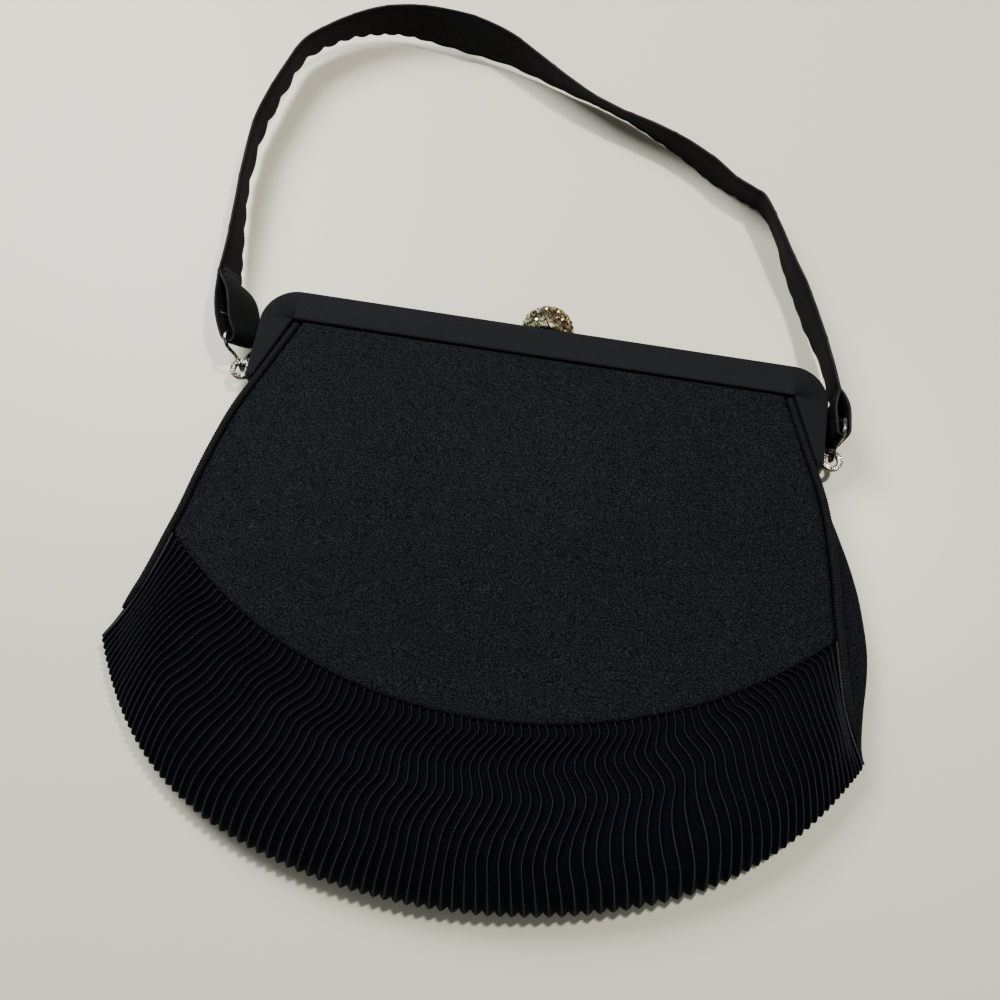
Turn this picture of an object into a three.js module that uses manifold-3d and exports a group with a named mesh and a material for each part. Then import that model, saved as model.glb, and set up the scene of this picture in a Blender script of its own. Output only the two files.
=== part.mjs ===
// A black evening bag with an accordion pleated hem, lying on its back with its front up.
// X runs across the bag, Y from the hem up to the frame, Z up from the table it lies on.
// The origin is on the table, about midway between the top of the frame and the hem. Millimetres.

import * as THREE from 'three';
import { mergeVertices } from 'three/addons/utils/BufferGeometryUtils.js';
import Module from 'manifold-3d';

const wasm = await Module();
wasm.setup();

// Shared clearances
const GAP = 0.3;                 // between neighbouring pieces
const WALL = 1.2;                // cloth of the plain panels, doubled and interfaced

// Frame
const FRAME_WIDTH = 186.4;       // over the arms
const FRAME_TOP = 89.5;          // top of the rail above the origin
const RAIL = 10.3;               // height of the covered rail
const HALF_THICK = 7;            // thickness of each half
const ARM_LENGTH = 32.5;         // from the top of the rail to the end of the arms
const CORNER_RADIUS = 12;
const ARM_ROOT = 12.7;           // from the frame's outside to the side seam, at the rail
const ARM_TIP = 4;               // and at the ends of the arms
const FRAME_EDGE = 0.8;          // rounding of the covered edges

// Body
const HEM_LOW = 91.8;            // the lowest point of the hem below the origin
const HEM_WIDTH = 234;           // between the corners of the hem
const HEM_RISE = 58.2;           // from the middle of the hem up to its corners
const HEM_ROUND = 0.61;          // share of that rise in one even arc, the rest is at the corners
const SEAM_LOW = 39;             // the middle of the yoke's seam below the origin
const SEAM_RADIUS = 146.3;       // the arc that the yoke is cut to
const BELLY = 6.3;               // how far the middle of the front stands above its sides
const SIDE_HEIGHT = 12.4;        // height of the front piping where it leaves the rail
const SIDE_SWELL = 3.3;          // how much higher the piping is at the yoke's corner
const HEM_MIDDLE = 7;            // height of the fold of the hem at the middle of the bag
const HEM_CORNER = 5;            // and at its corners
const SWING = 8;                 // how far the hem lies off to the left
const PIPING_RADIUS = 1.35;
const PIPING_REACH = 0.7;        // share of the pleats' sides that the piping runs down
const GUSSET_WALL = 1.1;
const GUSSET_REACH = 0.94;       // share of the pleats' sides that the gussets run down
const GUSSET_OUT_RIGHT = 8.5;    // the right gusset swells out
const GUSSET_OUT_LEFT = -1.6;    // the left one is tucked in

// Pleats
const PLEATS = 84;
const PLEAT_DEPTH = 1.3;         // from ridge to valley
const PLEAT_CLOTH = 1;
const WAVE = 3.4;                // how far the ridges wander sideways
const WAVE_TURNS = 1.6;          // waves between the seam and the hem
const WAVE_START = 0.25;         // the turn that they start at in the middle of the seam
const WAVE_DRIFT = 0.45;         // how far that start moves on towards each side

// Strap
const STRAP_WIDTH = 14.5;
const STRAP_THICK = 2;
const STRAP_RISE = 143.2;        // middle of the strap at its highest, above the ears
const STRAP_LIFT = 3.5;          // the stiff strap stands this far off the table at most
const STRAP_STEPS = 46;
const LOOP_RADIUS = 3.4;         // outside of the sewn loop round the link
const LOOP_WALL = 1.8;

// Ears, links and clasp
const EAR_UP = 4.6;              // middle of the ears above the ends of the arms
const EAR_RADIUS = 3.6;
const EAR_HOLE = 1.9;
const EAR_THICK = 1.6;
const SHANK_RADIUS = 0.9;
const SHANK_DEPTH = 2.8;         // how far a shank reaches into the frame
const LINK_LENGTH = 11;          // from the middle of the ear's hole to the bar in the strap
const WIRE_RADIUS = 0.6;
const LINK_CLEAR = 0.6;          // between a link's strands and the strap's edges
const CLASP_X = 0.4;             // middle of the clasp
const CLASP_WIDE = 16.2;
const CLASP_HIGH = 7.6;
const CLASP_NECK = 2;            // middle of the dome above the rail
const CLASP_DEEP = 14;
const CLASP_SLIT = 0.5;          // between the two lobes
const SLIT_OFFSET = 1.4;         // of the slit from the middle
const STONE = 2.5;               // width of a stone
const STONE_PROUD = 0.35;
const STONE_TABLE = 0.56;        // width of a stone's flat top as a share of the stone's
const STONE_PITCH = 1.12;        // from stone to stone in a row, in stones

const FRAME_HALF = FRAME_WIDTH / 2;
const RAIL_BOTTOM = FRAME_TOP - RAIL;
const ARM_END = FRAME_TOP - ARM_LENGTH;
const EAR_Y = ARM_END + EAR_UP;
const HEM_HALF = HEM_WIDTH / 2;
const CORNER_Y = HEM_RISE - HEM_LOW;
const MIDDLE_Z = HALF_THICK + GAP / 2;
const SIDE_CLEAR = 1.1 * (PIPING_RADIUS + GAP);  // room for the piping, which runs aslant
const PIPING_FOOT = PIPING_RADIUS + 0.1;         // the back piping is just clear of the table

// Each side of the body below the frame. Down is a share of the run from the ends of the
// arms to the corner of the hem, and out a share of the way across between the two.
const SIDE = [
  { down: 0, out: 0 },
  { down: 0.13, out: 0.161 },
  { down: 0.265, out: 0.272 },
  { down: 0.4, out: 0.358 },
  { down: 0.515, out: 0.418 },
  { down: 0.615, out: 0.486 },
  { down: 0.74, out: 0.572 },
  { down: 0.82, out: 0.649 },
  { down: 0.925, out: 0.811 },
  { down: 1, out: 1 },
];

// The strap from its left tack to its right one. Across is a share of half the frame's
// width, up a share of the strap's rise above the ears, lean the tilt of its width away
// from upright in degrees, and lift a share of the most that it stands off the table.
const STRAP = [
  { across: -1.15, up: 0.21, lean: 18, lift: 0.75 },
  { across: -1.168, up: 0.29, lean: 6, lift: 0.7 },
  { across: -1.186, up: 0.401, lean: -4, lift: 0.75 },
  { across: -1.2, up: 0.499, lean: -10, lift: 0.8 },
  { across: -1.2, up: 0.617, lean: -10, lift: 0.9 },
  { across: -1.178, up: 0.701, lean: -12, lift: 1 },
  { across: -1.144, up: 0.79, lean: -15, lift: 1 },
  { across: -1.105, up: 0.869, lean: -19, lift: 1 },
  { across: -1.03, up: 0.921, lean: -17, lift: 1 },
  { across: -0.944, up: 0.96, lean: -12, lift: 1 },
  { across: -0.848, up: 0.987, lean: -4, lift: 1 },
  { across: -0.751, up: 1, lean: 3, lift: 1 },
  { across: -0.633, up: 1, lean: 16, lift: 0.95 },
  { across: -0.483, up: 0.99, lean: 25, lift: 0.85 },
  { across: -0.333, up: 0.966, lean: 10, lift: 0.7 },
  { across: -0.204, up: 0.93, lean: -4, lift: 0.5 },
  { across: -0.086, up: 0.893, lean: -15, lift: 0.35 },
  { across: 0.043, up: 0.856, lean: -26, lift: 0.25 },
  { across: 0.161, up: 0.823, lean: -26, lift: 0.2 },
  { across: 0.29, up: 0.782, lean: -16, lift: 0.15 },
  { across: 0.413, up: 0.732, lean: -8, lift: 0.1 },
  { across: 0.518, up: 0.678, lean: -14, lift: 0.1 },
  { across: 0.603, up: 0.642, lean: -24, lift: 0.1 },
  { across: 0.675, up: 0.621, lean: -22, lift: 0.1 },
  { across: 0.727, up: 0.594, lean: -12, lift: 0.1 },
  { across: 0.778, up: 0.535, lean: -14, lift: 0.1 },
  { across: 0.828, up: 0.472, lean: -14, lift: 0.1 },
  { across: 0.877, up: 0.408, lean: -8, lift: 0.15 },
  { across: 0.933, up: 0.334, lean: -7, lift: 0.3 },
  { across: 0.99, up: 0.24, lean: -7, lift: 0.65 },
  { across: 1.04, up: 0.165, lean: -5, lift: 0.8 },
];

// The sewn loops, by the middle of the round at the bottom of each, in the strap's shares.
const ENDS = [
  { side: -1, across: 1.068, up: 0.074 },
  { side: 1, across: 1.062, up: 0.063 },
];

// Materials
const cloth = (color, roughness = 0.95) =>
  new THREE.MeshStandardMaterial({ color, roughness, metalness: 0 });
const CREPE = cloth(0x1a1c1f);
const FAILLE = cloth(0x15161a);
const PLEATED = cloth(0x101116);
const CORDED = cloth(0x131418);
const STRAP_CLOTH = cloth(0x17181c);
const SILVER = new THREE.MeshStandardMaterial({ color: 0xb9b7ae, roughness: 0.3, metalness: 1 });
const PAVE = new THREE.MeshStandardMaterial({ color: 0xcfc9b6, roughness: 0.2, metalness: 0.7 });

const group = new THREE.Group();

function addMesh(name, geometry, material) {
  const mesh = new THREE.Mesh(geometry, material);
  mesh.name = name;
  group.add(mesh);
}

// A geometry with its shared corners merged, and with its positions alone.
function bare(geometry) {
  const copy = geometry.clone();
  copy.deleteAttribute('normal');
  copy.deleteAttribute('uv');
  return mergeVertices(copy, 1e-4);
}

function solid(geometry) {
  const merged = bare(geometry);
  return new wasm.Manifold(new wasm.Mesh({
    numProp: 3,
    vertProperties: new Float32Array(merged.attributes.position.array),
    triVerts: new Uint32Array(merged.index.array),
  }));
}

function fromSolid(shape) {
  const mesh = shape.getMesh();
  const geometry = new THREE.BufferGeometry();
  geometry.setAttribute('position', new THREE.BufferAttribute(mesh.vertProperties, 3));
  geometry.setIndex(new THREE.BufferAttribute(mesh.triVerts, 1));
  return geometry;
}

// A closed cloth wall: a box whose long faces are laid on a surface. Place takes the two
// shares across and along the surface and 1 for the outer face or 0 for the inner one.
function wall(across, along, place) {
  const geometry = new THREE.BoxGeometry(1, 1, 1, across, along, 1);
  const position = geometry.attributes.position;
  for (let i = 0; i < position.count; i += 1) {
    const point = place(position.getX(i) + 0.5, 0.5 - position.getY(i), position.getZ(i) + 0.5);
    position.setXYZ(i, point.x, point.y, point.z);
  }
  return bare(geometry);
}

// The value of one column of a table at a place along another, on a smooth curve.
function along(table, key, at, column) {
  let i = 1;
  while (i < table.length - 1 && table[i][key] < at) {
    i += 1;
  }
  const row = (k) => table[Math.min(Math.max(k, 0), table.length - 1)];
  const span = row(i)[key] - row(i - 1)[key];
  const slope = (a, b) => (row(b)[column] - row(a)[column]) / (row(b)[key] - row(a)[key]);
  const before = i > 1 ? slope(i - 2, i) : slope(i - 1, i);
  const after = i < table.length - 1 ? slope(i - 1, i + 1) : slope(i - 1, i);
  const t = (at - row(i - 1)[key]) / span;
  const start = row(i - 1)[column] * (1 + 2 * t) * (1 - t) ** 2 + before * span * t * (1 - t) ** 2;
  const end = row(i)[column] * (3 - 2 * t) * t ** 2 - after * span * (1 - t) * t ** 2;
  return start + end;
}

// The body lies a little askew: below the arms it swings to the left.
function swung(point) {
  const depth = Math.max(0, ARM_END - point.y) / (ARM_END + HEM_LOW);
  return new THREE.Vector3(point.x - SWING * depth ** 2.5, point.y, point.z);
}

// Middle of the side seam at a height on the bag, before the swing. Between the frame's arms
// it runs straight, and below them it follows the table.
function sideX(y) {
  if (y >= ARM_END) {
    const arm = Math.min(1, (RAIL_BOTTOM - y) / (RAIL_BOTTOM - ARM_END));
    return FRAME_HALF - ARM_ROOT + arm * (ARM_ROOT - ARM_TIP);
  }
  const down = Math.min(1, (ARM_END - y) / (ARM_END - CORNER_Y));
  const start = FRAME_HALF - ARM_TIP;
  return start + along(SIDE, 'down', down, 'out') * (HEM_HALF - start);
}

const seamY = (x) => SEAM_RADIUS - SEAM_LOW - Math.sqrt(SEAM_RADIUS ** 2 - x ** 2);

// The yoke's corner, where its arc meets the side seam.
let cornerY = 0;
for (let i = 0; i < 20; i += 1) {
  cornerY = seamY(sideX(cornerY) - SIDE_CLEAR);
}
const YOKE_CORNER_Y = cornerY;
const YOKE_CORNER_X = sideX(YOKE_CORNER_Y) - SIDE_CLEAR;
const YOKE_ANGLE = Math.asin(YOKE_CORNER_X / SEAM_RADIUS);

// Heights of the front and back side seams, given how far down the bag they are.
function sideTop(y) {
  const yoke = Math.min(1, (RAIL_BOTTOM - y) / (RAIL_BOTTOM - YOKE_CORNER_Y));
  const top = SIDE_HEIGHT + SIDE_SWELL * Math.sin(yoke * Math.PI / 2);
  return frontHeight(top, HEM_CORNER, bandShare(y));
}

function sideFoot(y) {
  return backHeight(PIPING_FOOT, HEM_CORNER, bandShare(y));
}

// Share of the way from the yoke's corner down to the corner of the hem.
function bandShare(y) {
  return Math.min(1, Math.max(0, (YOKE_CORNER_Y - y) / (YOKE_CORNER_Y - CORNER_Y)));
}

// The pleated band falls from the seam to the fold of the hem, and comes back on the table.
function frontHeight(seam, fold, share) {
  return fold + (seam - fold) * Math.sqrt(1 - share ** 3);
}

function backHeight(seam, fold, share) {
  return fold - (fold - seam) * Math.sqrt(1 - share ** 4);
}

// Plain upper panels, cut to an arc below
const bellyAt = (across, down) => BELLY * down ** 0.8 * (1 - Math.abs(across) ** 2.4);

function yokePlan(across, down) {
  const sideY = RAIL_BOTTOM - GAP - down * (RAIL_BOTTOM - GAP - YOKE_CORNER_Y);
  const onArc = Math.sin(across * YOKE_ANGLE) / Math.sin(YOKE_ANGLE);
  const x = (across + down * (onArc - across)) * (sideX(sideY) - SIDE_CLEAR);
  const seam = seamY(SEAM_RADIUS * Math.sin(across * YOKE_ANGLE)) + GAP / 2;
  const y = RAIL_BOTTOM - GAP + down * (seam - RAIL_BOTTOM + GAP);
  return { x, y, sideY };
}

function frontYoke(u, v, face) {
  const across = 2 * u - 1;
  const { x, y, sideY } = yokePlan(across, v);
  const z = sideTop(sideY) + bellyAt(across, v) + (face - 0.5) * WALL;
  return swung(new THREE.Vector3(x, y, z));
}

function backYoke(u, v, face) {
  const { x, y } = yokePlan(1 - 2 * u, v);
  return swung(new THREE.Vector3(x, y, (1 - face) * WALL));
}

// Pleated band, from the front seam round the hem to the back seam
class HemCurve extends THREE.Curve {
  getPoint(t, target = new THREE.Vector3()) {
    const share = 2 * t - 1;
    const rise = HEM_ROUND * share ** 2 + (1 - HEM_ROUND) * share ** 6;
    return target.set(share * (HEM_HALF - SIDE_CLEAR), HEM_RISE * rise - HEM_LOW, 0);
  }
}
const hemCurve = new HemCurve();
const HEM_ROOM = PLEAT_DEPTH / 2;
const BAND_FRONT = [0, 0.2, 0.4, 0.6, 0.8, 1];
const BAND_BACK = [0.8, 0.45, 0];
const BAND_STATIONS = BAND_FRONT.concat(BAND_BACK.map((share) => 2 - share));

// The middle of the band's cloth: across from 0 to 1, and round from 0 at the front seam,
// over 1 at the fold, to 2 at the back seam.
function bandMiddle(u, round) {
  const across = 2 * u - 1;
  const share = round <= 1 ? round : 2 - round;
  const seamX = SEAM_RADIUS * Math.sin(across * YOKE_ANGLE);
  const hem = hemCurve.getPointAt(u);
  const straightX = seamX + share * (hem.x - seamX);
  const y = seamY(seamX) - GAP / 2 + share * (hem.y + HEM_ROOM - seamY(seamX) + GAP / 2);
  const edge = Math.abs(across) ** 8;
  const edgeY = YOKE_CORNER_Y + share * (CORNER_Y - YOKE_CORNER_Y);
  const cornerX = YOKE_CORNER_X + share * (HEM_HALF - SIDE_CLEAR - YOKE_CORNER_X);
  const bow = Math.sign(across) * edge * (sideX(edgeY) - SIDE_CLEAR - cornerX);
  const calm = Math.sin(Math.PI * share) * (1 - edge);
  const phase = WAVE_START + WAVE_DRIFT * across;
  const wave = WAVE * calm * Math.sin(2 * Math.PI * (WAVE_TURNS * share + phase));
  const fold = HEM_CORNER + (HEM_MIDDLE - HEM_CORNER) * (1 - across ** 2);
  const seamZ = sideTop(YOKE_CORNER_Y) + bellyAt(across, 1);
  const z = round <= 1
    ? frontHeight(seamZ, fold, share)
    : backHeight(PLEAT_DEPTH / 2, fold, share);
  return swung(new THREE.Vector3(straightX + bow + wave, y, z));
}

function bandNormal(u, round) {
  const step = 0.002;
  const clamp = (value, high) => Math.min(Math.max(value, 0), high);
  const acrossStep = bandMiddle(clamp(u + step, 1), round).sub(bandMiddle(clamp(u - step, 1), round));
  const roundStep = bandMiddle(u, clamp(round + step, 2)).sub(bandMiddle(u, clamp(round - step, 2)));
  return roundStep.cross(acrossStep).normalize();
}

function pleatedBand(u, v, face) {
  const column = Math.round(u * 2 * PLEATS);
  const round = BAND_STATIONS[Math.round(v * (BAND_STATIONS.length - 1))];
  const tooth = column % 2 === 0 ? -PLEAT_DEPTH / 2 : PLEAT_DEPTH / 2;
  const offset = tooth - (1 - face) * PLEAT_CLOTH;
  return bandMiddle(u, round).addScaledVector(bandNormal(u, round), offset);
}

// Gussets between the front and back side seams
const GUSSET_TOP = ARM_END - GAP;
const GUSSET_END = YOKE_CORNER_Y + GUSSET_REACH * (CORNER_Y - YOKE_CORNER_Y);

function gusset(side, swell) {
  return (u, v, face) => {
    const y = GUSSET_TOP + v * (GUSSET_END - GUSSET_TOP);
    const low = sideFoot(y) + PIPING_RADIUS + GAP;
    const high = sideTop(y) - PIPING_RADIUS - GAP;
    const share = side > 0 ? 1 - u : u;
    const out = swell * Math.sin(Math.PI * share) * Math.sin(Math.PI * v ** 1.3);
    const x = sideX(y) + out + (face - 0.5) * GUSSET_WALL;
    return swung(new THREE.Vector3(side * x, y, low + share * (high - low)));
  };
}

// Corded piping down the four side seams
const PIPING_TOP = RAIL_BOTTOM - GAP - PIPING_RADIUS / 2;
const PIPING_END = YOKE_CORNER_Y + PIPING_REACH * (CORNER_Y - YOKE_CORNER_Y);
const PIPING_STEPS = 11;

function piping(side, height) {
  const points = [];
  for (let i = 0; i <= PIPING_STEPS; i += 1) {
    const y = PIPING_TOP + (i / PIPING_STEPS) * (PIPING_END - PIPING_TOP);
    points.push(swung(new THREE.Vector3(side * sideX(y), y, height(y))));
  }
  const section = new THREE.Shape();
  section.absarc(0, 0, PIPING_RADIUS, 0, 2 * Math.PI);
  return new THREE.ExtrudeGeometry(section, {
    steps: PIPING_STEPS,
    curveSegments: 4,
    extrudePath: new THREE.CatmullRomCurve3(points),
  });
}

// Covered frame: two U shapes, one on the other, grooved across for the ears' shanks
function frameOutline() {
  const inner = (y) => sideX(y) + SIDE_CLEAR;
  const cornerX = FRAME_HALF - CORNER_RADIUS;
  const cornerStart = FRAME_TOP - CORNER_RADIUS;
  const arm = [0, 0.25, 0.5, 0.75, 1].map((share) => ARM_END + share * (RAIL_BOTTOM - ARM_END));
  const outline = new THREE.Shape();
  outline.moveTo(FRAME_HALF, ARM_END);
  outline.lineTo(FRAME_HALF, cornerStart);
  outline.absarc(cornerX, cornerStart, CORNER_RADIUS, 0, Math.PI / 2);
  outline.absarc(-cornerX, cornerStart, CORNER_RADIUS, Math.PI / 2, Math.PI);
  outline.lineTo(-FRAME_HALF, ARM_END);
  for (const y of arm) {
    outline.lineTo(-inner(y), y);
  }
  for (const y of arm.reverse()) {
    outline.lineTo(inner(y), y);
  }
  return outline;
}

function frameHalf(lowZ) {
  const geometry = new THREE.ExtrudeGeometry(frameOutline(), {
    depth: HALF_THICK - 2 * FRAME_EDGE,
    curveSegments: 6,
    bevelThickness: FRAME_EDGE,
    bevelSize: FRAME_EDGE,
    bevelOffset: -FRAME_EDGE,
    bevelSegments: 1,
  });
  let half = solid(geometry.translate(0, 0, lowZ + FRAME_EDGE));
  for (const side of [-1, 1]) {
    const radius = SHANK_RADIUS + GAP;
    const groove = new THREE.CylinderGeometry(radius, radius, FRAME_HALF / 4, 12);
    groove.rotateZ(Math.PI / 2).translate(side * FRAME_HALF, EAR_Y, MIDDLE_Z);
    half = half.subtract(solid(groove));
  }
  return fromSolid(half);
}

// Ears: flat silver rings at the ends of the frame, each with a shank into it
const EAR_X = FRAME_HALF + GAP + EAR_RADIUS;
const earCentre = (side) => new THREE.Vector3(side * EAR_X, EAR_Y, MIDDLE_Z);

function ear(side) {
  const disc = new THREE.Shape();
  disc.absarc(0, 0, EAR_RADIUS, 0, 2 * Math.PI);
  const hole = new THREE.Path();
  hole.absarc(0, 0, EAR_HOLE, 0, 2 * Math.PI, true);
  disc.holes.push(hole);
  const ring = new THREE.ExtrudeGeometry(disc, {
    depth: EAR_THICK,
    curveSegments: 8,
    bevelEnabled: false,
  });
  const centre = earCentre(side);
  ring.translate(centre.x, centre.y, centre.z - EAR_THICK / 2);
  const length = SHANK_DEPTH + GAP + (EAR_RADIUS - EAR_HOLE) / 2;
  const shank = new THREE.CylinderGeometry(SHANK_RADIUS, SHANK_RADIUS, length, 8);
  shank.rotateZ(Math.PI / 2);
  shank.translate(side * (FRAME_HALF - SHANK_DEPTH + length / 2), centre.y, centre.z);
  return fromSolid(solid(ring).add(solid(shank)));
}

// Strap: a flat band of cloth whose ends are folded back into sewn loops
const strapCurve = new THREE.CatmullRomCurve3(STRAP.map((row) => {
  const lean = THREE.MathUtils.degToRad(row.lean);
  const half = (STRAP_WIDTH * Math.cos(lean) + STRAP_THICK * Math.sin(Math.abs(lean))) / 2;
  const z = half + row.lift * STRAP_LIFT;
  return new THREE.Vector3(row.across * FRAME_HALF, EAR_Y + row.up * STRAP_RISE, z);
}));

// The strap's middle, the way its width runs, and the way through its cloth
function strapFrame(t) {
  const centre = strapCurve.getPoint(t);
  const tangent = strapCurve.getTangent(t);
  const level = new THREE.Vector3(tangent.x, tangent.y, 0).normalize();
  const outward = new THREE.Vector3(-level.y, level.x, 0);
  const place = t * (STRAP.length - 1);
  const i = Math.min(Math.floor(place), STRAP.length - 2);
  const degrees = THREE.MathUtils.lerp(STRAP[i].lean, STRAP[i + 1].lean, place - i);
  const lean = THREE.MathUtils.degToRad(degrees);
  const width = outward.multiplyScalar(Math.sin(lean));
  width.z = Math.cos(lean);
  const through = new THREE.Vector3().crossVectors(tangent, width).normalize();
  return { centre, width, through };
}

function strapBand(u, v, face) {
  const { centre, width, through } = strapFrame(v);
  centre.addScaledVector(width, (u - 0.5) * STRAP_WIDTH);
  return centre.addScaledVector(through, (face - 0.5) * STRAP_THICK);
}

// Where each sewn loop starts and ends, and the three ways of its own frame
function loopFrame(end) {
  const { centre, width } = strapFrame(end.side < 0 ? 0 : 1);
  const y = EAR_Y + end.up * STRAP_RISE;
  const round = new THREE.Vector3(end.side * end.across * FRAME_HALF, y, centre.z);
  const down = round.clone().sub(centre).normalize();
  const upright = width.addScaledVector(down, -width.dot(down)).normalize();
  const through = new THREE.Vector3().crossVectors(down, upright);
  return { tack: centre, round, down, upright, through };
}

function strapLoop(end) {
  const { tack, round, down, upright, through } = loopFrame(end);
  const length = tack.distanceTo(round);
  const drop = (shape, top, half, radius) => {
    shape.moveTo(half, top);
    shape.quadraticCurveTo(radius, length / 2, radius, length);
    shape.absarc(0, length, radius, 0, Math.PI);
    shape.quadraticCurveTo(-radius, length / 2, -half, top);
    return shape;
  };
  const shape = drop(new THREE.Shape(), -STRAP_THICK, LOOP_WALL, LOOP_RADIUS);
  shape.holes.push(drop(new THREE.Path(), length / 4, LOOP_WALL / 8, LOOP_RADIUS - LOOP_WALL));
  const geometry = new THREE.ExtrudeGeometry(shape, {
    depth: STRAP_WIDTH,
    curveSegments: 5,
    bevelEnabled: false,
  });
  geometry.translate(0, 0, -STRAP_WIDTH / 2);
  geometry.applyMatrix4(new THREE.Matrix4().makeBasis(through, down, upright).setPosition(tack));
  return solid(geometry);
}

function strap() {
  let whole = solid(wall(1, STRAP_STEPS, strapBand));
  for (const end of ENDS) {
    whole = whole.add(strapLoop(end));
  }
  return fromSolid(whole);
}

// Links: bent wire, narrow through the ear and wide round the strap's loop
const LINK_HALF = STRAP_WIDTH / 2 + LINK_CLEAR + WIRE_RADIUS;

function link(end) {
  const { tack, round, upright } = loopFrame(end);
  const hole = earCentre(end.side);
  const toTack = tack.clone().sub(round).normalize();
  const offset = round.clone().sub(hole);
  const b = offset.dot(toTack);
  const square = Math.max(0, b ** 2 - offset.lengthSq() + LINK_LENGTH ** 2);
  const slide = Math.max(0, Math.sqrt(square) - b);
  const bar = round.clone().addScaledVector(toTack, slide);
  const reach = slide + LOOP_RADIUS;
  const away = bar.clone().sub(hole).normalize();
  const back = away.clone().addScaledVector(upright, -away.dot(upright)).negate();
  const height = EAR_THICK / 2 + WIRE_RADIUS + GAP;
  const strand = (sign) => [
    hole.clone().addScaledVector(away, WIRE_RADIUS).setZ(hole.z + sign * height),
    hole.clone().addScaledVector(away, EAR_RADIUS).addScaledVector(upright, sign * LINK_HALF / 3),
    bar.clone().addScaledVector(back, reach).addScaledVector(upright, sign * LINK_HALF),
    bar.clone().addScaledVector(back, WIRE_RADIUS).addScaledVector(upright, sign * LINK_HALF),
    bar.clone().addScaledVector(upright, sign * (LINK_HALF - 2 * WIRE_RADIUS)),
  ];
  const points = [hole, ...strand(1), bar, ...strand(-1).reverse()];
  return new THREE.TubeGeometry(new THREE.CatmullRomCurve3(points, true), 24, WIRE_RADIUS, 5, true);
}

// Clasp: a dome set with stones on top of the rail, in two lobes that snap past each other
const CLASP_CENTRE = new THREE.Vector3(CLASP_X, FRAME_TOP + GAP + CLASP_NECK, MIDDLE_Z + STONE_PROUD);
const CLASP_HALVES = new THREE.Vector3(CLASP_WIDE / 2, CLASP_HIGH, CLASP_DEEP / 2);
const STONE_ROWS = [0, 24, 47, 70];

// Middles of the stones on the dome, in rows round its top, with the way each one faces
function stonePlaces() {
  const places = [];
  for (const degrees of STONE_ROWS) {
    const angle = THREE.MathUtils.degToRad(degrees);
    const girth = Math.PI * (CLASP_HALVES.x + CLASP_HALVES.z) * Math.sin(angle);
    const count = Math.max(1, Math.floor(girth / (STONE * STONE_PITCH)));
    for (let i = 0; i < count; i += 1) {
      const turn = (2 * Math.PI * (i + 0.5)) / count;
      const unit = new THREE.Vector3().setFromSphericalCoords(1, angle, turn);
      const facing = unit.clone().divide(CLASP_HALVES).normalize();
      places.push({ at: unit.multiply(CLASP_HALVES).add(CLASP_CENTRE), facing });
    }
  }
  return places;
}

function stone({ at, facing }) {
  const height = 3 * STONE_PROUD;
  const cut = new THREE.CylinderGeometry(STONE_TABLE * STONE / 2, STONE / 2, height, 8);
  cut.translate(0, STONE_PROUD - height / 2, 0);
  const turn = new THREE.Quaternion().setFromUnitVectors(new THREE.Vector3(0, 1, 0), facing);
  return solid(cut.applyQuaternion(turn).translate(at.x, at.y, at.z));
}

function claspLobe(side) {
  const size = 2 * CLASP_WIDE;
  const dome = new THREE.SphereGeometry(1, 14, 8);
  dome.scale(CLASP_HALVES.x, CLASP_HALVES.y, CLASP_HALVES.z);
  dome.translate(CLASP_CENTRE.x, CLASP_CENTRE.y, CLASP_CENTRE.z);
  const slitX = CLASP_X + SLIT_OFFSET;
  const room = new THREE.BoxGeometry(size, size, size);
  const middle = slitX + side * (size + CLASP_SLIT) / 2;
  room.translate(middle, FRAME_TOP + GAP + size / 2, CLASP_CENTRE.z);
  let lobe = solid(dome).intersect(solid(room));
  const clear = (STONE + CLASP_SLIT) / 2;
  for (const place of stonePlaces()) {
    if (side * (place.at.x - slitX) > clear) {
      lobe = lobe.add(stone(place));
    }
  }
  return fromSolid(lobe);
}

const SIDES = [
  { name: 'left', side: -1, swell: GUSSET_OUT_LEFT, end: ENDS[0] },
  { name: 'right', side: 1, swell: GUSSET_OUT_RIGHT, end: ENDS[1] },
];

addMesh('frame_front', frameHalf(HALF_THICK + GAP), FAILLE);
addMesh('frame_back', frameHalf(0), FAILLE);
addMesh('front_yoke', wall(16, 8, frontYoke), CREPE);
addMesh('back_yoke', wall(14, 1, backYoke), CREPE);
addMesh('pleated_band', wall(2 * PLEATS, BAND_STATIONS.length - 1, pleatedBand), PLEATED);
for (const { name, side, swell, end } of SIDES) {
  addMesh(`gusset_${name}`, wall(4, 9, gusset(side, swell)), CREPE);
  addMesh(`piping_front_${name}`, piping(side, sideTop), CORDED);
  addMesh(`piping_back_${name}`, piping(side, sideFoot), CORDED);
  addMesh(`ear_${name}`, ear(side), SILVER);
  addMesh(`link_${name}`, link(end), SILVER);
  addMesh(`clasp_${name}`, claspLobe(side), PAVE);
}
addMesh('strap', strap(), STRAP_CLOTH);

export default group;
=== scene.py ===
import functools
import math
import random

import bmesh
import bpy
from mathutils import Matrix, Vector


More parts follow.
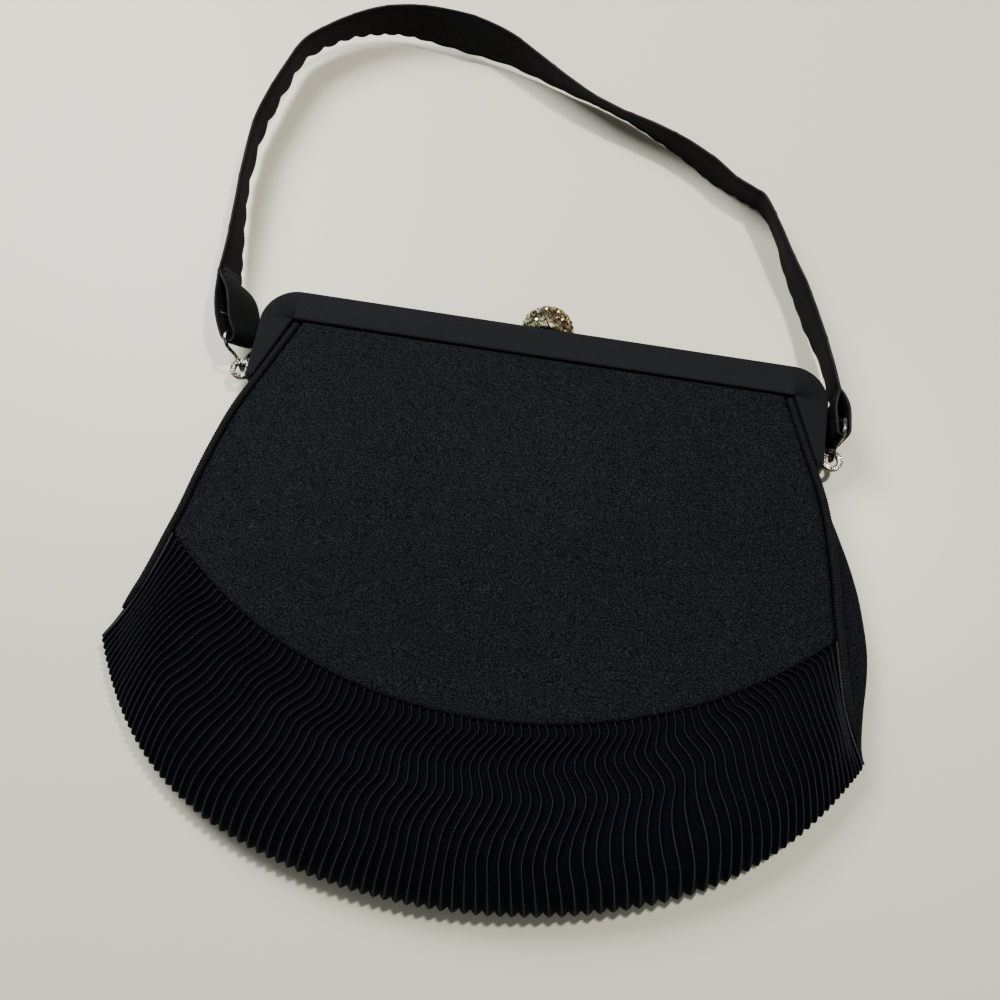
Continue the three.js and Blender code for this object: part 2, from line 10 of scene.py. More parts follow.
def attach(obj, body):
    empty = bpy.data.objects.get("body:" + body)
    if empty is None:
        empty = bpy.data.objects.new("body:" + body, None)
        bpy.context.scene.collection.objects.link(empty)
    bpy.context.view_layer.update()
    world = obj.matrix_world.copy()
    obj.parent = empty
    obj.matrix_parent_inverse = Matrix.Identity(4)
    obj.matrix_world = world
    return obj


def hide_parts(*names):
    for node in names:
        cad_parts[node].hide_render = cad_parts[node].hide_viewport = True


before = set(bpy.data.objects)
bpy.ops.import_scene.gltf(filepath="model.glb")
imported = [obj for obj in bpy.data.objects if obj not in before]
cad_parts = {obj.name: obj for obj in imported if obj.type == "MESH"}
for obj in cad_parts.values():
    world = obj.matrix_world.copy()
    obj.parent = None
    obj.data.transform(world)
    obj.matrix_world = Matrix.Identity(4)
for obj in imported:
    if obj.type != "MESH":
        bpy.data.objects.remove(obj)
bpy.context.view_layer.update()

MM = 0.001


# Camera, table and light. The bag lies on a pale painted table, seen steeply from above and a
# little from the right. A wide cool window stands at the upper left, and a small warm lamp
# hangs overhead at the right.

CAMERA_TURN = math.radians(9.49)
CAMERA_RISE = math.radians(73)
CAMERA_AWAY = 330 * MM
CAMERA_LENS = 37.56
CAMERA_SENSOR = 36
CAMERA_CLIP = 10 * MM
LOOKED_AT = Vector((-5.44, 30.89, 8.0)) * MM

camera = bpy.data.objects.new("camera", bpy.data.cameras.new("camera"))
camera.data.lens = CAMERA_LENS
camera.data.sensor_width = CAMERA_SENSOR
camera.data.clip_start = CAMERA_CLIP
away = Vector((
    math.sin(CAMERA_TURN) * math.cos(CAMERA_RISE),
    -math.cos(CAMERA_TURN) * math.cos(CAMERA_RISE),
    math.sin(CAMERA_RISE),
))
camera.location = LOOKED_AT + CAMERA_AWAY * away
camera.rotation_euler = away.to_track_quat("Z", "Y").to_euler()
bpy.context.scene.collection.objects.link(camera)
bpy.context.scene.camera = camera

TABLE_SIZE = 3.0
TABLE_COLOR = (0.785, 0.755, 0.60)
TABLE_ROUGHNESS = 0.4


def principled(name, color, roughness, gloss=0.5, **sockets):
    material = bpy.data.materials.new(name)
    material.use_nodes = True
    shader = material.node_tree.nodes["Principled BSDF"]
    shader.inputs["Base Color"].default_value = (*color, 1)
    shader.inputs["Roughness"].default_value = roughness
    shader.inputs["Specular IOR Level"].default_value = gloss
    for socket, value in sockets.items():
        shader.inputs[socket.replace("_", " ")].default_value = value
    return material, shader


table_top = bmesh.new()
bmesh.ops.create_grid(table_top, x_segments=1, y_segments=1, size=TABLE_SIZE / 2)
table_mesh = bpy.data.meshes.new("table_top")
table_top.to_mesh(table_mesh)
table_top.free()
table = bpy.data.objects.new("table_top", table_mesh)
bpy.context.scene.collection.objects.link(table)
table_paint, table_shader = principled("table_paint", TABLE_COLOR, TABLE_ROUGHNESS)
table_mesh.materials.append(table_paint)


# Each light's place and width in metres, its power in watts and its colour
LIGHTS = {
    "window": ((-0.42, 0.42, 0.62), 0.4, 8.8, (0.98, 0.985, 1.0)),
    "ceiling_lamp": ((0.34, 0.34, 1.0), 0.08, 8.8, (1.0, 0.96, 0.88)),
}


def soft_light(name, place, size, power, color):
    lamp = bpy.data.lights.new(name, "AREA")
    lamp.size = size
    lamp.energy = power
    lamp.color = color
    holder = bpy.data.objects.new(name, lamp)
    holder.location = place
    holder.rotation_euler = (Vector(place) - LOOKED_AT).to_track_quat("Z", "Y").to_euler()
    bpy.context.scene.collection.objects.link(holder)


for name, values in LIGHTS.items():
    soft_light(name, *values)


def node_helper(owner):
    """Short names for adding and joining nodes in a material or a world."""
    tree = owner.node_tree

    def add(kind, **values):
        node = tree.nodes.new(kind)
        for key, value in values.items():
            if key.startswith("in_"):
                node.inputs[key[3:].replace("_", " ")].default_value = value
            else:
                setattr(node, key, value)
        return node

    def join(source, target):
        tree.links.new(source, target)

    return add, join


def shade_ramp(add, low, dark, high, light):
    """A node that runs from a dark colour at low to a light one at high."""
    ramp = add("ShaderNodeValToRGB")
    for stop, place, color in zip(ramp.color_ramp.elements, (low, high), (dark, light)):
        stop.position = place
        stop.color = (*color, 1)
    return ramp


# The room is brighter overhead than along its walls, which cut stones and wire show up.
ROOM_STRENGTH = 0.25
WALL_SHADE = (0.06, 0.065, 0.07)
CEILING_SHADE = (0.97, 0.98, 0.98)

studio = bpy.data.worlds.new("studio")
studio.use_nodes = True
add, join = node_helper(studio)
background = studio.node_tree.nodes["Background"]
background.inputs["Strength"].default_value = ROOM_STRENGTH
look_way = add("ShaderNodeTexCoord")
look_split = add("ShaderNodeSeparateXYZ")
join(look_way.outputs["Generated"], look_split.inputs["Vector"])
room_shade = shade_ramp(add, 0.1, WALL_SHADE, 0.75, CEILING_SHADE)
join(look_split.outputs["Z"], room_shade.inputs["Fac"])
join(room_shade.outputs["Color"], background.inputs["Color"])
bpy.context.scene.world = studio


# Covered frame: two hinged steel U shapes, each covered with a bias strip of ribbed silk
# faille that is glued down and turned in along the inside, so its ribs run slantwise along
# the rail, fan round the corners and run on down the tapering arms.

GAP = 0.3 * MM
FRAME_HALF = 93.2 * MM
FRAME_TOP = 89.5 * MM
RAIL = 10.3 * MM
RAIL_BOTTOM = FRAME_TOP - RAIL
ARM_END = FRAME_TOP - 32.5 * MM
CORNER_RADIUS = 12 * MM
HALF_THICK = 7 * MM
PIPING_RADIUS = 1.35 * MM
SIDE_CLEAR = 1.1 * (PIPING_RADIUS + GAP)
HEM_HALF = 117 * MM
HEM_LOW = 91.8 * MM
HEM_RISE = 58.2 * MM
CORNER_Y = HEM_RISE - HEM_LOW
RIB_PITCH = 0.66 * MM
RIB_SLANT = math.radians(33)
RIB_HEIGHT = 0.3 * MM

# Each side of the body below the frame: down is a share of the run from the ends of the arms
# to the corner of the hem, and out a share of the way across between the two.
ARM_ROOT = 12.7 * MM
ARM_TIP = 4 * MM
SIDE_DOWN = [0, 0.13, 0.265, 0.4, 0.515, 0.615, 0.74, 0.82, 0.925, 1]
SIDE_OUT = [0, 0.161, 0.272, 0.358, 0.418, 0.486, 0.572, 0.649, 0.811, 1]


def smooth_table(places, values, at):
    """The value at a place along a table, on a smooth curve through its rows."""
    last = len(places) - 1
    i = 1
    while i < last and places[i] < at:
        i += 1

    def slope(first, second):
        return (values[second] - values[first]) / (places[second] - places[first])

    before = slope(i - 2, i) if i > 1 else slope(i - 1, i)
    after = slope(i - 1, i + 1) if i < last else slope(i - 1, i)
    span = places[i] - places[i - 1]
    t = (at - places[i - 1]) / span
    start = values[i - 1] * (1 + 2 * t) * (1 - t) ** 2 + before * span * t * (1 - t) ** 2
    return start + values[i] * (3 - 2 * t) * t**2 - after * span * (1 - t) * t**2


def side_x(y):
    """Middle of the side seam at a height on the bag: straight between the frame's arms."""
    if y >= ARM_END:
        arm = min(1, (RAIL_BOTTOM - y) / (RAIL_BOTTOM - ARM_END))
        return FRAME_HALF - ARM_ROOT + arm * (ARM_ROOT - ARM_TIP)
    down = min(1, (ARM_END - y) / (ARM_END - CORNER_Y))
    start = FRAME_HALF - ARM_TIP
    return start + smooth_table(SIDE_DOWN, SIDE_OUT, down) * (HEM_HALF - start)


def cloth_object(name, bm, material, smooth=True):
    """Finishes a bmesh as a named piece that rides with the bag."""
    mesh = bpy.data.meshes.new(name)
    for face in bm.faces:
        face.smooth = smooth
    bm.to_mesh(mesh)
    bm.free()
    piece = bpy.data.objects.new(name, mesh)
    bpy.context.scene.collection.objects.link(piece)
    mesh.materials.append(material)
    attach(piece, "root")
    return piece


def mapped_grid(columns, rows, place, pattern):
    """A grid laid on a surface: place gives its points and pattern its UV, in metres."""
    bm = bmesh.new()
    uv = bm.loops.layers.uv.new("cloth")
    bmesh.ops.create_grid(bm, x_segments=columns, y_segments=rows, size=0.5)
    for face in bm.faces:
        for loop in face.loops:
            loop[uv].uv = pattern(loop.vert.co.x + 0.5, loop.vert.co.y + 0.5)
    for vert in bm.verts:
        vert.co = place(vert.co.x + 0.5, vert.co.y + 0.5)
    return bm


def closed_tube(bm):
    """Joins the long edges of a grid that is wrapped round, and closes its two ends."""
    bmesh.ops.remove_doubles(bm, verts=bm.verts, dist=0.01 * MM)
    rim = [edge for edge in bm.edges if edge.is_boundary]
    bmesh.ops.holes_fill(bm, edges=rim, sides=0)
    bmesh.ops.recalc_face_normals(bm, faces=bm.faces)


INNER_CORNER = Vector((side_x(RAIL_BOTTOM) + SIDE_CLEAR, RAIL_BOTTOM))
ROUND_CENTRE = Vector((FRAME_HALF - CORNER_RADIUS, FRAME_TOP - CORNER_RADIUS))

# Shares of half the U that run along an arm, round a corner and along half the rail
ARM_SHARE, ROUND_SHARE, RAIL_SHARE = 0.2, 0.16, 0.64


def frame_station(along):
    """Inner and outer point of the cover at a place along the U, from 0 to 1."""
    side = -1 if along < 0.5 else 1
    half = 2 * along if along < 0.5 else 2 - 2 * along
    if half < ARM_SHARE:
        share = half / ARM_SHARE
        inner_y = ARM_END + share * (RAIL_BOTTOM - ARM_END)
        inner = Vector((side_x(inner_y) + SIDE_CLEAR, inner_y))
        outer = Vector((FRAME_HALF, ARM_END + share * (ROUND_CENTRE.y - ARM_END)))
    elif half < ARM_SHARE + ROUND_SHARE:
        turn = (half - ARM_SHARE) / ROUND_SHARE * math.pi / 2
        inner = INNER_CORNER.copy()
        outer = ROUND_CENTRE + CORNER_RADIUS * Vector((math.cos(turn), math.sin(turn)))
    else:
        share = (half - ARM_SHARE - ROUND_SHARE) / RAIL_SHARE
        inner = Vector((INNER_CORNER.x * (1 - share), RAIL_BOTTOM))
        outer = Vector((ROUND_CENTRE.x * (1 - share), FRAME_TOP))
    inner.x *= side
    outer.x *= side
    return inner, outer


FRAME_STEPS = 150
SECTION_STEPS = 40
EDGE_ROUND = 0.22

# A mitre fold of the cover at the upper left corner: its place along the U, its share of the
# way across the rail, and its depth as a share of the cover's thickness
MITRE_AT = 0.14
MITRE_HALF = 0.6 / FRAME_STEPS
MITRE_ACROSS = 0.4
MITRE_DEEP = 0.16

OUTER_RUN = [0.0]
for step in range(FRAME_STEPS):
    first = frame_station(step / FRAME_STEPS)[1]
    second = frame_station((step + 1) / FRAME_STEPS)[1]
    OUTER_RUN.append(OUTER_RUN[-1] + (second - first).length)


def frame_section(u, v, low_z):
    inner, outer = frame_station(v)
    turn = 2 * math.pi * u
    across = math.copysign(abs(math.cos(turn)) ** EDGE_ROUND, math.cos(turn)) / 2 + 0.5
    up = math.copysign(abs(math.sin(turn)) ** EDGE_ROUND, math.sin(turn)) / 2 + 0.5
    if abs(v - MITRE_AT) < MITRE_HALF and across < MITRE_ACROSS:
        up = min(up, 1 - MITRE_DEEP * (1 - across / MITRE_ACROSS))
    flat = inner.lerp(outer, across)
    return Vector((flat.x, flat.y, low_z + up * HALF_THICK))


def frame_cover(name, node, low_z):
    girths = []
    for row in range(FRAME_STEPS + 1):
        v = row / FRAME_STEPS
        ring = [
            frame_section(column / SECTION_STEPS, v, low_z) for column in range(SECTION_STEPS + 1)
        ]
        run = [0.0]
        for first, second in zip(ring, ring[1:]):
            run.append(run[-1] + (second - first).length)
        girths.append(run)

    def pattern(u, v):
        row = round(v * FRAME_STEPS)
        return (OUTER_RUN[row], -girths[row][round(u * SECTION_STEPS)])

    bm = mapped_grid(
        SECTION_STEPS, FRAME_STEPS, lambda u, v: frame_section(u, v, low_z), pattern,
    )
    closed_tube(bm)
    piece = cloth_object(name, bm, faille)
    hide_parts(node)


def bumped(add, join, source, shader, strength, height):
    """Raises the surface where a texture node is light."""
    bump = add("ShaderNodeBump", in_Strength=strength, in_Distance=height)
    join(source.outputs["Fac"], bump.inputs["Height"])
    join(bump.outputs["Normal"], shader.inputs["Normal"])


faille, faille_shader = principled("faille", (0.012, 0.013, 0.015), 0.7, 0.16)
add, join = node_helper(faille)
cloth_uv = add("ShaderNodeUVMap", uv_map="cloth")
slant = add("ShaderNodeMapping", in_Rotation=(0, 0, RIB_SLANT))
join(cloth_uv.outputs["UV"], slant.inputs["Vector"])
ribs = add(
    "ShaderNodeTexWave", in_Scale=math.pi / (10 * RIB_PITCH), in_Distortion=0.25,
    in_Detail_Scale=0.2,
)
join(slant.outputs["Vector"], ribs.inputs["Vector"])
# Painted shade and highlight on the ribs: the grooves between them are painted dark and the crests
# light, by the same waves that raise them.
painted_rib_shade = shade_ramp(add, 0.45, (0.0008, 0.0009, 0.0014), 0.9, (0.021, 0.022, 0.026))
join(ribs.outputs["Fac"], painted_rib_shade.inputs["Fac"])
join(painted_rib_shade.outputs["Color"], faille_shader.inputs["Base Color"])
bumped(add, join, ribs, faille_shader, 1.0, RIB_HEIGHT)

frame_cover("frame_cover_front", "frame_front", HALF_THICK + GAP)
frame_cover("frame_cover_back", "frame_back", 0)


# Plain yokes, front and back: wool crepe over a stiff interlining, stitched into the frame
# above and turned under along a round seam below. The front one bellies over what is inside.

WALL = 1.2 * MM
SEAM_LOW = 39 * MM
SEAM_RADIUS = 146.3 * MM
BELLY = 6.3 * MM
SIDE_HEIGHT = 12.4 * MM
SIDE_SWELL = 3.3 * MM
SWING = 8 * MM
HEM_MIDDLE = 7 * MM
HEM_CORNER = 5 * MM
PIPING_FOOT = PIPING_RADIUS + 0.1 * MM

# The lower edge is turned under over this share of the yoke, and the cloth lies in soft waves
TURNED_SHARE = 0.015
TURNED_DEEP = 0.45 * MM
EASE = 0.18 * MM
EASE_ACROSS, EASE_DOWN = 9, 4


def swung(x, y, z):
    """The body lies a little askew: below the arms it swings to the left."""
    depth = max(0, ARM_END - y) / (ARM_END + HEM_LOW)
    return Vector((x - SWING * depth**2.5, y, z))


def seam_y(x):
    return SEAM_RADIUS - SEAM_LOW - math.sqrt(SEAM_RADIUS**2 - x**2)


YOKE_CORNER_Y = 0
for _ in range(20):
    YOKE_CORNER_Y = seam_y(side_x(YOKE_CORNER_Y) - SIDE_CLEAR)
YOKE_CORNER_X = side_x(YOKE_CORNER_Y) - SIDE_CLEAR
YOKE_ANGLE = math.asin(YOKE_CORNER_X / SEAM_RADIUS)


def band_share(y):
    return min(1, max(0, (YOKE_CORNER_Y - y) / (YOKE_CORNER_Y - CORNER_Y)))


def front_height(seam, fold, share):
    """Height of the front as it rounds down to the hem's fold."""
    return fold + (seam - fold) * math.sqrt(1 - share**3)


def back_height(seam, fold, share):
    """Height of the back as it rounds up to the hem's fold."""
    return fold - (fold - seam) * math.sqrt(1 - share**4)


def side_top(y):
    """Height of the front side seam."""
    yoke = min(1, (RAIL_BOTTOM - y) / (RAIL_BOTTOM - YOKE_CORNER_Y))
    top = SIDE_HEIGHT + SIDE_SWELL * math.sin(yoke * math.pi / 2)
    return front_height(top, HEM_CORNER, band_share(y))


def side_foot(y):
    """Height of the back side seam."""
    return back_height(PIPING_FOOT, HEM_CORNER, band_share(y))


def belly_at(across, down):
    return BELLY * down**0.8 * (1 - abs(across) ** 2.4)


def yoke_plan(across, down):
    """Plan of a yoke, and the height on its side seam that gives its width there."""
    side_y = RAIL_BOTTOM - GAP - down * (RAIL_BOTTOM - GAP - YOKE_CORNER_Y)
    on_arc = math.sin(across * YOKE_ANGLE) / math.sin(YOKE_ANGLE)
    x = (across + down * (on_arc - across)) * (side_x(side_y) - SIDE_CLEAR)
    seam = seam_y(SEAM_RADIUS * math.sin(across * YOKE_ANGLE)) + GAP / 2
    y = RAIL_BOTTOM - GAP + down * (seam - RAIL_BOTTOM + GAP)
    return x, y, side_y


def thickened(piece, thickness, offset):
    wall = piece.modifiers.new("cloth", "SOLIDIFY")
    wall.thickness = thickness
    wall.offset = offset
    return piece


def front_yoke_place(u, v):
    across, down = 2 * u - 1, 1 - v
    x, y, side_y = yoke_plan(across, down)
    z = side_top(side_y) + belly_at(across, down) + WALL / 2
    turned_under = max(0, (down - 1 + TURNED_SHARE) / TURNED_SHARE) ** 2 * TURNED_DEEP
    ease = EASE * math.sin(EASE_ACROSS * across + EASE_DOWN * down) * math.sin(math.pi * down)
    return swung(x, y, z - turned_under + ease)


def back_yoke_place(u, v):
    x, y, _ = yoke_plan(1 - 2 * u, 1 - v)
    return swung(x, y, 0)


def flat_pattern(width, height):
    return lambda u, v: (u * width, v * height)


def fixed_noise(add, join, scale, detail, **sockets):
    """Noise that is fixed to the piece, by its Object coordinates."""
    place = add("ShaderNodeTexCoord")
    noise = add("ShaderNodeTexNoise", in_Scale=scale, in_Detail=detail, **sockets)
    join(place.outputs["Object"], noise.inputs["Vector"])
    return noise


def speckle(add, join, shader, dark, light, scale, low=0.35, high=0.7):
    """Threads of two shades: fine noise that mixes a dark and a light colour."""
    grain = fixed_noise(add, join, scale, 3.0, in_Roughness=0.65)
    shade = shade_ramp(add, low, dark, high, light)
    join(grain.outputs["Fac"], shade.inputs["Fac"])
    join(shade.outputs["Color"], shader.inputs["Base Color"])
    return grain, shade


def multiplied(add, join, first, second):
    """The product of two colour ramps."""
    product = add("ShaderNodeMix", data_type="RGBA", blend_type="MULTIPLY")
    product.inputs["Factor"].default_value = 1
    join(first.outputs["Color"], product.inputs["A"])
    join(second.outputs["Color"], product.inputs["B"])
    return product.outputs["Result"]


crepe, crepe_shader = principled("crepe", (0.01, 0.012, 0.013), 0.85, 0.08)
add, join = node_helper(crepe)
grain, grain_shade = speckle(
    add, join, crepe_shader,
    (0.0001, 0.0004, 0.0007), (0.0135, 0.0168, 0.0196), 2450, 0.46, 0.60,
)
aged = fixed_noise(add, join, 26.0, 3.0)
aged_shade = shade_ramp(add, 0.35, (0.86, 0.95, 0.96), 0.68, (1.12, 1.08, 1.14))
join(aged.outputs["Fac"], aged_shade.inputs["Fac"])
join(multiplied(add, join, grain_shade, aged_shade), crepe_shader.inputs["Base Color"])
bumped(add, join, grain, crepe_shader, 0.5, 0.12 * MM)

yoke_pattern = flat_pattern(2 * YOKE_CORNER_X, FRAME_TOP + SEAM_LOW)
front_yoke = cloth_object(
    "yoke_front", mapped_grid(110, 90, front_yoke_place, yoke_pattern), crepe,
)
thickened(front_yoke, WALL, -1)
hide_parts("front_yoke")

back_yoke = cloth_object("yoke_back", mapped_grid(60, 50, back_yoke_place, yoke_pattern), crepe)
thickened(back_yoke, WALL, -1)
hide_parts("back_yoke")


# Pleated band: one length of cloth that was set in accordion pleats by steam, sewn to the
# front yoke, taken round the hem without a seam and sewn to the back yoke. Its upper edge lies
# against the yoke, and its ridges have been crushed into waves. The crests are painted light
# and the valleys painted dark: painted highlight and painted shade.

PLEATS = 92
PLEAT_DEPTH = 1.5 * MM
PLEAT_CLOTH = 0.5 * MM
HEM_ROOM = 0.65 * MM
HEM_ROUND = 0.61
FRONT_ROWS = 56
BACK_ROWS = 14

# One pleat, from one ridge to the next: how far along it, and how high it stands there
PLEAT_ALONG = [0, 0.07, 0.28, 0.55, 0.8, 0.94]
PLEAT_HIGH = [1, 0.7, 0.25, 0, 0.3, 0.7]

# The rows of cloth lie closer towards the fold of the hem. Within this reach of the fold the
# pleats stand fuller, and the painted highlight on their ridges spreads over more of their width.
FRONT_CROWDING = 1.15
BACK_CROWDING = 1.6
FOLD_REACH = 0.2
FOLD_LIGHT_SPREAD = 1.2
FOLD_FULLNESS = 0.65

# How light the ridges are painted, a painted highlight: the least, and what is added towards
# the hem and towards the left
CREST_LIGHT_LEAST, CREST_LIGHT_LOW, CREST_LIGHT_LEFT = 0.8, 0.14, 0.06


def hem_point(share):
    """Point of the hem at a share of the way from its middle out to a corner."""
    rise = HEM_ROUND * share**2 + (1 - HEM_ROUND) * share**6
    return Vector((share * (HEM_HALF - SIDE_CLEAR), HEM_RISE * rise - HEM_LOW))


HEM_SAMPLES = 600
HEM_RUN = [0.0]
for step in range(HEM_SAMPLES):
    first = hem_point(2 * step / HEM_SAMPLES - 1)
    second = hem_point(2 * (step + 1) / HEM_SAMPLES - 1)
    HEM_RUN.append(HEM_RUN[-1] + (second - first).length)


def hem_at(u):
    """Point of the hem at a share of its length."""
    wanted = u * HEM_RUN[-1]
    low, high = 0, HEM_SAMPLES
    while high - low > 1:
        middle = (low + high) // 2
        if HEM_RUN[middle] <= wanted:
            low = middle
        else:
            high = middle
    part = (wanted - HEM_RUN[low]) / (HEM_RUN[low + 1] - HEM_RUN[low])
    return hem_point(2 * (low + part) / HEM_SAMPLES - 1)


# How far the ridges lie off straight lines from the seam to the hem, in millimetres: one
# row for each share of the way down, with the ridges at these shares of the way across.
RIDGES_ACROSS = [-1, -0.9, -0.77, -0.65, -0.5, -0.37, -0.13, 0.22, 0.46, 0.54, 0.66, 0.8, 0.93, 1]
RIDGES_DOWN = {
    0: [0, 0, 0, 0, 0, 0, 0, 0, 0, 0, 0, 0, 0, 0],
    0.06: [0, -0.2, -0.5, -0.4, 0.1, 0.4, 0.9, 0.9, 0.5, 0.3, 1.2, 3, 2.2, 0],
    0.12: [0, -0.9, -1.8, -1.4, -0.9, 0.4, -0.5, -1.6, -0.5, 0.2, 4.4, 4.5, 3, 0],
    0.18: [0, -1.7, -3.5, -2.6, -2.9, -0.6, -2, -3.6, -1.4, 1.9, 6.2, 5.4, 3.6, 0],
    0.25: [0, -2.7, -5.3, -4.3, -4.9, -3.3, -3.2, -4.1, 0.2, 4.6, 7, 6.3, 4.1, 0],
    0.32: [0, -3.4, -6.8, -5.4, -5.5, -5.2, -2.8, -2.4, 2.8, 5.8, 7.5, 7.2, 4.6, 0],
    0.4: [0, -4.2, -8.2, -6.4, -6.1, -5.3, -2.6, -0.8, 4, 5.8, 8, 8.2, 5.2, 0],
    0.5: [0, -4.9, -9.8, -8.6, -7.6, -5.9, -5, -1.6, 3, 6.6, 8.8, 9.5, 6, 0],
    0.6: [0, -5.4, -10.8, -11.4, -9.2, -7.4, -5.9, -3.4, 2.9, 8, 10, 10.8, 6.8, 0],
    0.72: [0, -5.6, -11, -12.6, -11, -9.4, -5.4, -4, 4, 9.2, 11.4, 11.8, 7.2, 0],
    0.85: [0, -5.2, -10.6, -12.6, -12.4, -10.2, -5.8, -2.4, 5.6, 9.6, 11.8, 11.6, 6.8, 0],
    1: [0, -4.6, -9.8, -12, -12.2, -10, -6, -0.4, 6.4, 9.4, 11.2, 10.8, 6, 0],
}
SHARES_DOWN = list(RIDGES_DOWN)


@functools.cache
def ridge_runs(across):
    """One ridge's place off its straight line, at each share down."""
    return [smooth_table(RIDGES_ACROSS, row, across) for row in RIDGES_DOWN.values()]


def ridge_wave(across, share):
    stray = 0.25 * math.sin(37 * across + 9 * share) * math.sin(math.pi * share)
    sideways = smooth_table(SHARES_DOWN, ridge_runs(across), share) + stray
    return sideways * (1 - 0.26 * across**2) * MM


def band_middle(u, round_hem):
    """Middle of the band's cloth: across from 0 to 1, round the hem from 0 over 1 to 2."""
    share = round_hem if round_hem <= 1 else 2 - round_hem
    run = 2 * SEAM_RADIUS * YOKE_ANGLE * (1 - share) + HEM_RUN[-1] * share
    u = min(max(u + ridge_wave(2 * u - 1, share) / run, 0), 1)
    across = 2 * u - 1
    seam_x = SEAM_RADIUS * math.sin(across * YOKE_ANGLE)
    hem = hem_at(u)
    straight_x = seam_x + share * (hem.x - seam_x)
    seam_edge = seam_y(seam_x) + GAP / 2
    y = seam_edge + share * (hem.y + HEM_ROOM - seam_edge)
    edge = abs(across) ** 8
    edge_y = YOKE_CORNER_Y + share * (CORNER_Y - YOKE_CORNER_Y)
    corner_x = YOKE_CORNER_X + share * (HEM_HALF - SIDE_CLEAR - YOKE_CORNER_X)
    bow = math.copysign(edge, across) * (side_x(edge_y) - SIDE_CLEAR - corner_x)
    fold = HEM_CORNER + (HEM_MIDDLE - HEM_CORNER) * (1 - across**2)
    seam_z = side_top(YOKE_CORNER_Y) + belly_at(across, 1)
    if round_hem <= 1:
        z = front_height(seam_z, fold, share)
    else:
        z = back_height(PLEAT_DEPTH / 2, fold, share)
    return swung(straight_x + bow, y, z)


def band_normal(u, round_hem):
    """The way out of the band's cloth, from points a small step to each side."""
    step = 0.002
    right = band_middle(min(u + step, 1), round_hem) - band_middle(max(u - step, 0), round_hem)
    on = band_middle(u, min(round_hem + step, 2)) - band_middle(u, max(round_hem - step, 0))
    return on.cross(right).normalized()


def pleated_band():
    columns = PLEATS * len(PLEAT_ALONG)
    rows = FRONT_ROWS + BACK_ROWS
    pattern = flat_pattern(400 * MM, 120 * MM)
    bm = bmesh.new()
    uv = bm.loops.layers.uv.new("cloth")
    ridge = bm.verts.layers.float.new("ridge")
    bmesh.ops.create_grid(bm, x_segments=columns, y_segments=rows, size=0.5)
    for face in bm.faces:
        for loop in face.loops:
            loop[uv].uv = pattern(loop.vert.co.x + 0.5, loop.vert.co.y + 0.5)
    for vert in bm.verts:
        column = round((vert.co.x + 0.5) * columns)
        row = round((0.5 - vert.co.y) * rows)
        pleat, part = divmod(column, len(PLEAT_ALONG))
        u = min((pleat + PLEAT_ALONG[part]) / PLEATS, 1)
        if row <= FRONT_ROWS:
            round_hem = math.sin(row / FRONT_ROWS * math.pi / 2) ** FRONT_CROWDING
        else:
            round_hem = 1 + ((row - FRONT_ROWS) / BACK_ROWS) ** BACK_CROWDING
        high = PLEAT_HIGH[part]
        by_fold = max(0, 1 - abs(1 - round_hem) / FOLD_REACH)
        # Painted highlight and shade: crests light, valleys dark, lighter towards the hem and the
        # left
        crest_light = CREST_LIGHT_LEAST + CREST_LIGHT_LOW * min(1, round_hem) + CREST_LIGHT_LEFT * (1 - u)
        vert[ridge] = crest_light * high ** (2 - FOLD_LIGHT_SPREAD * by_fold)
        lift = (high ** (1 - FOLD_FULLNESS * by_fold) - 0.5) * PLEAT_DEPTH
        vert.co = band_middle(u, round_hem) + lift * band_normal(u, round_hem)
        vert.co.z = max(vert.co.z, 0)
    return bm


pleated, pleated_shader = principled("pleated_cloth", (0.003, 0.0035, 0.006), 0.85, 0.06)
add, join = node_helper(pleated)
# The ridge layer paints the pleats' light and shade: a painted highlight on the crests and painted
# shade in the valleys.
ridge_share = add("ShaderNodeAttribute", attribute_name="ridge")
painted_ridge_shade = shade_ramp(add, 0.5, (0.0009, 0.0018, 0.0036), 1.0, (0.038, 0.043, 0.054))
join(ridge_share.outputs["Fac"], painted_ridge_shade.inputs["Fac"])
lint = fixed_noise(add, join, 2600.0, 2.0)
lint_shade = shade_ramp(add, 0.3, (0.5, 0.5, 0.5), 0.7, (1.5, 1.5, 1.5))
join(lint.outputs["Fac"], lint_shade.inputs["Fac"])
join(multiplied(add, join, painted_ridge_shade, lint_shade), pleated_shader.inputs["Base Color"])
bumped(add, join, lint, pleated_shader, 0.4, 0.08 * MM)

band = cloth_object("accordion_band", pleated_band(), pleated)
thickened(band, PLEAT_CLOTH, -1)
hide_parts("pleated_band")


# Gussets: plain crepe between the front and back side seams, from the ends of the frame's
# arms down to the pleats. The right one swells out and the left one is tucked in.

GUSSET_WALL = 1.1 * MM
GUSSET_TOP = ARM_END - GAP
GUSSET_END = YOKE_CORNER_Y + 0.94 * (CORNER_Y - YOKE_CORNER_Y)
GUSSET_OUT = {"left": -1.6 * MM, "right": 9.4 * MM}
SIDES = {"left": -1, "right": 1}


def gusset_place(side, swell):
    def place(u, v):
        down = 1 - v
        y = GUSSET_TOP + down * (GUSSET_END - GUSSET_TOP)
        low = side_foot(y) + PIPING_RADIUS + GAP
        high = side_top(y) - PIPING_RADIUS - GAP
        share = 1 - u if side > 0 else u
        out = swell * math.sin(math.pi * share) * math.sin(math.pi * down**1.3)
        return swung(side * (side_x(y) + out + GUSSET_WALL / 2), y, low + share * (high - low))

    return place


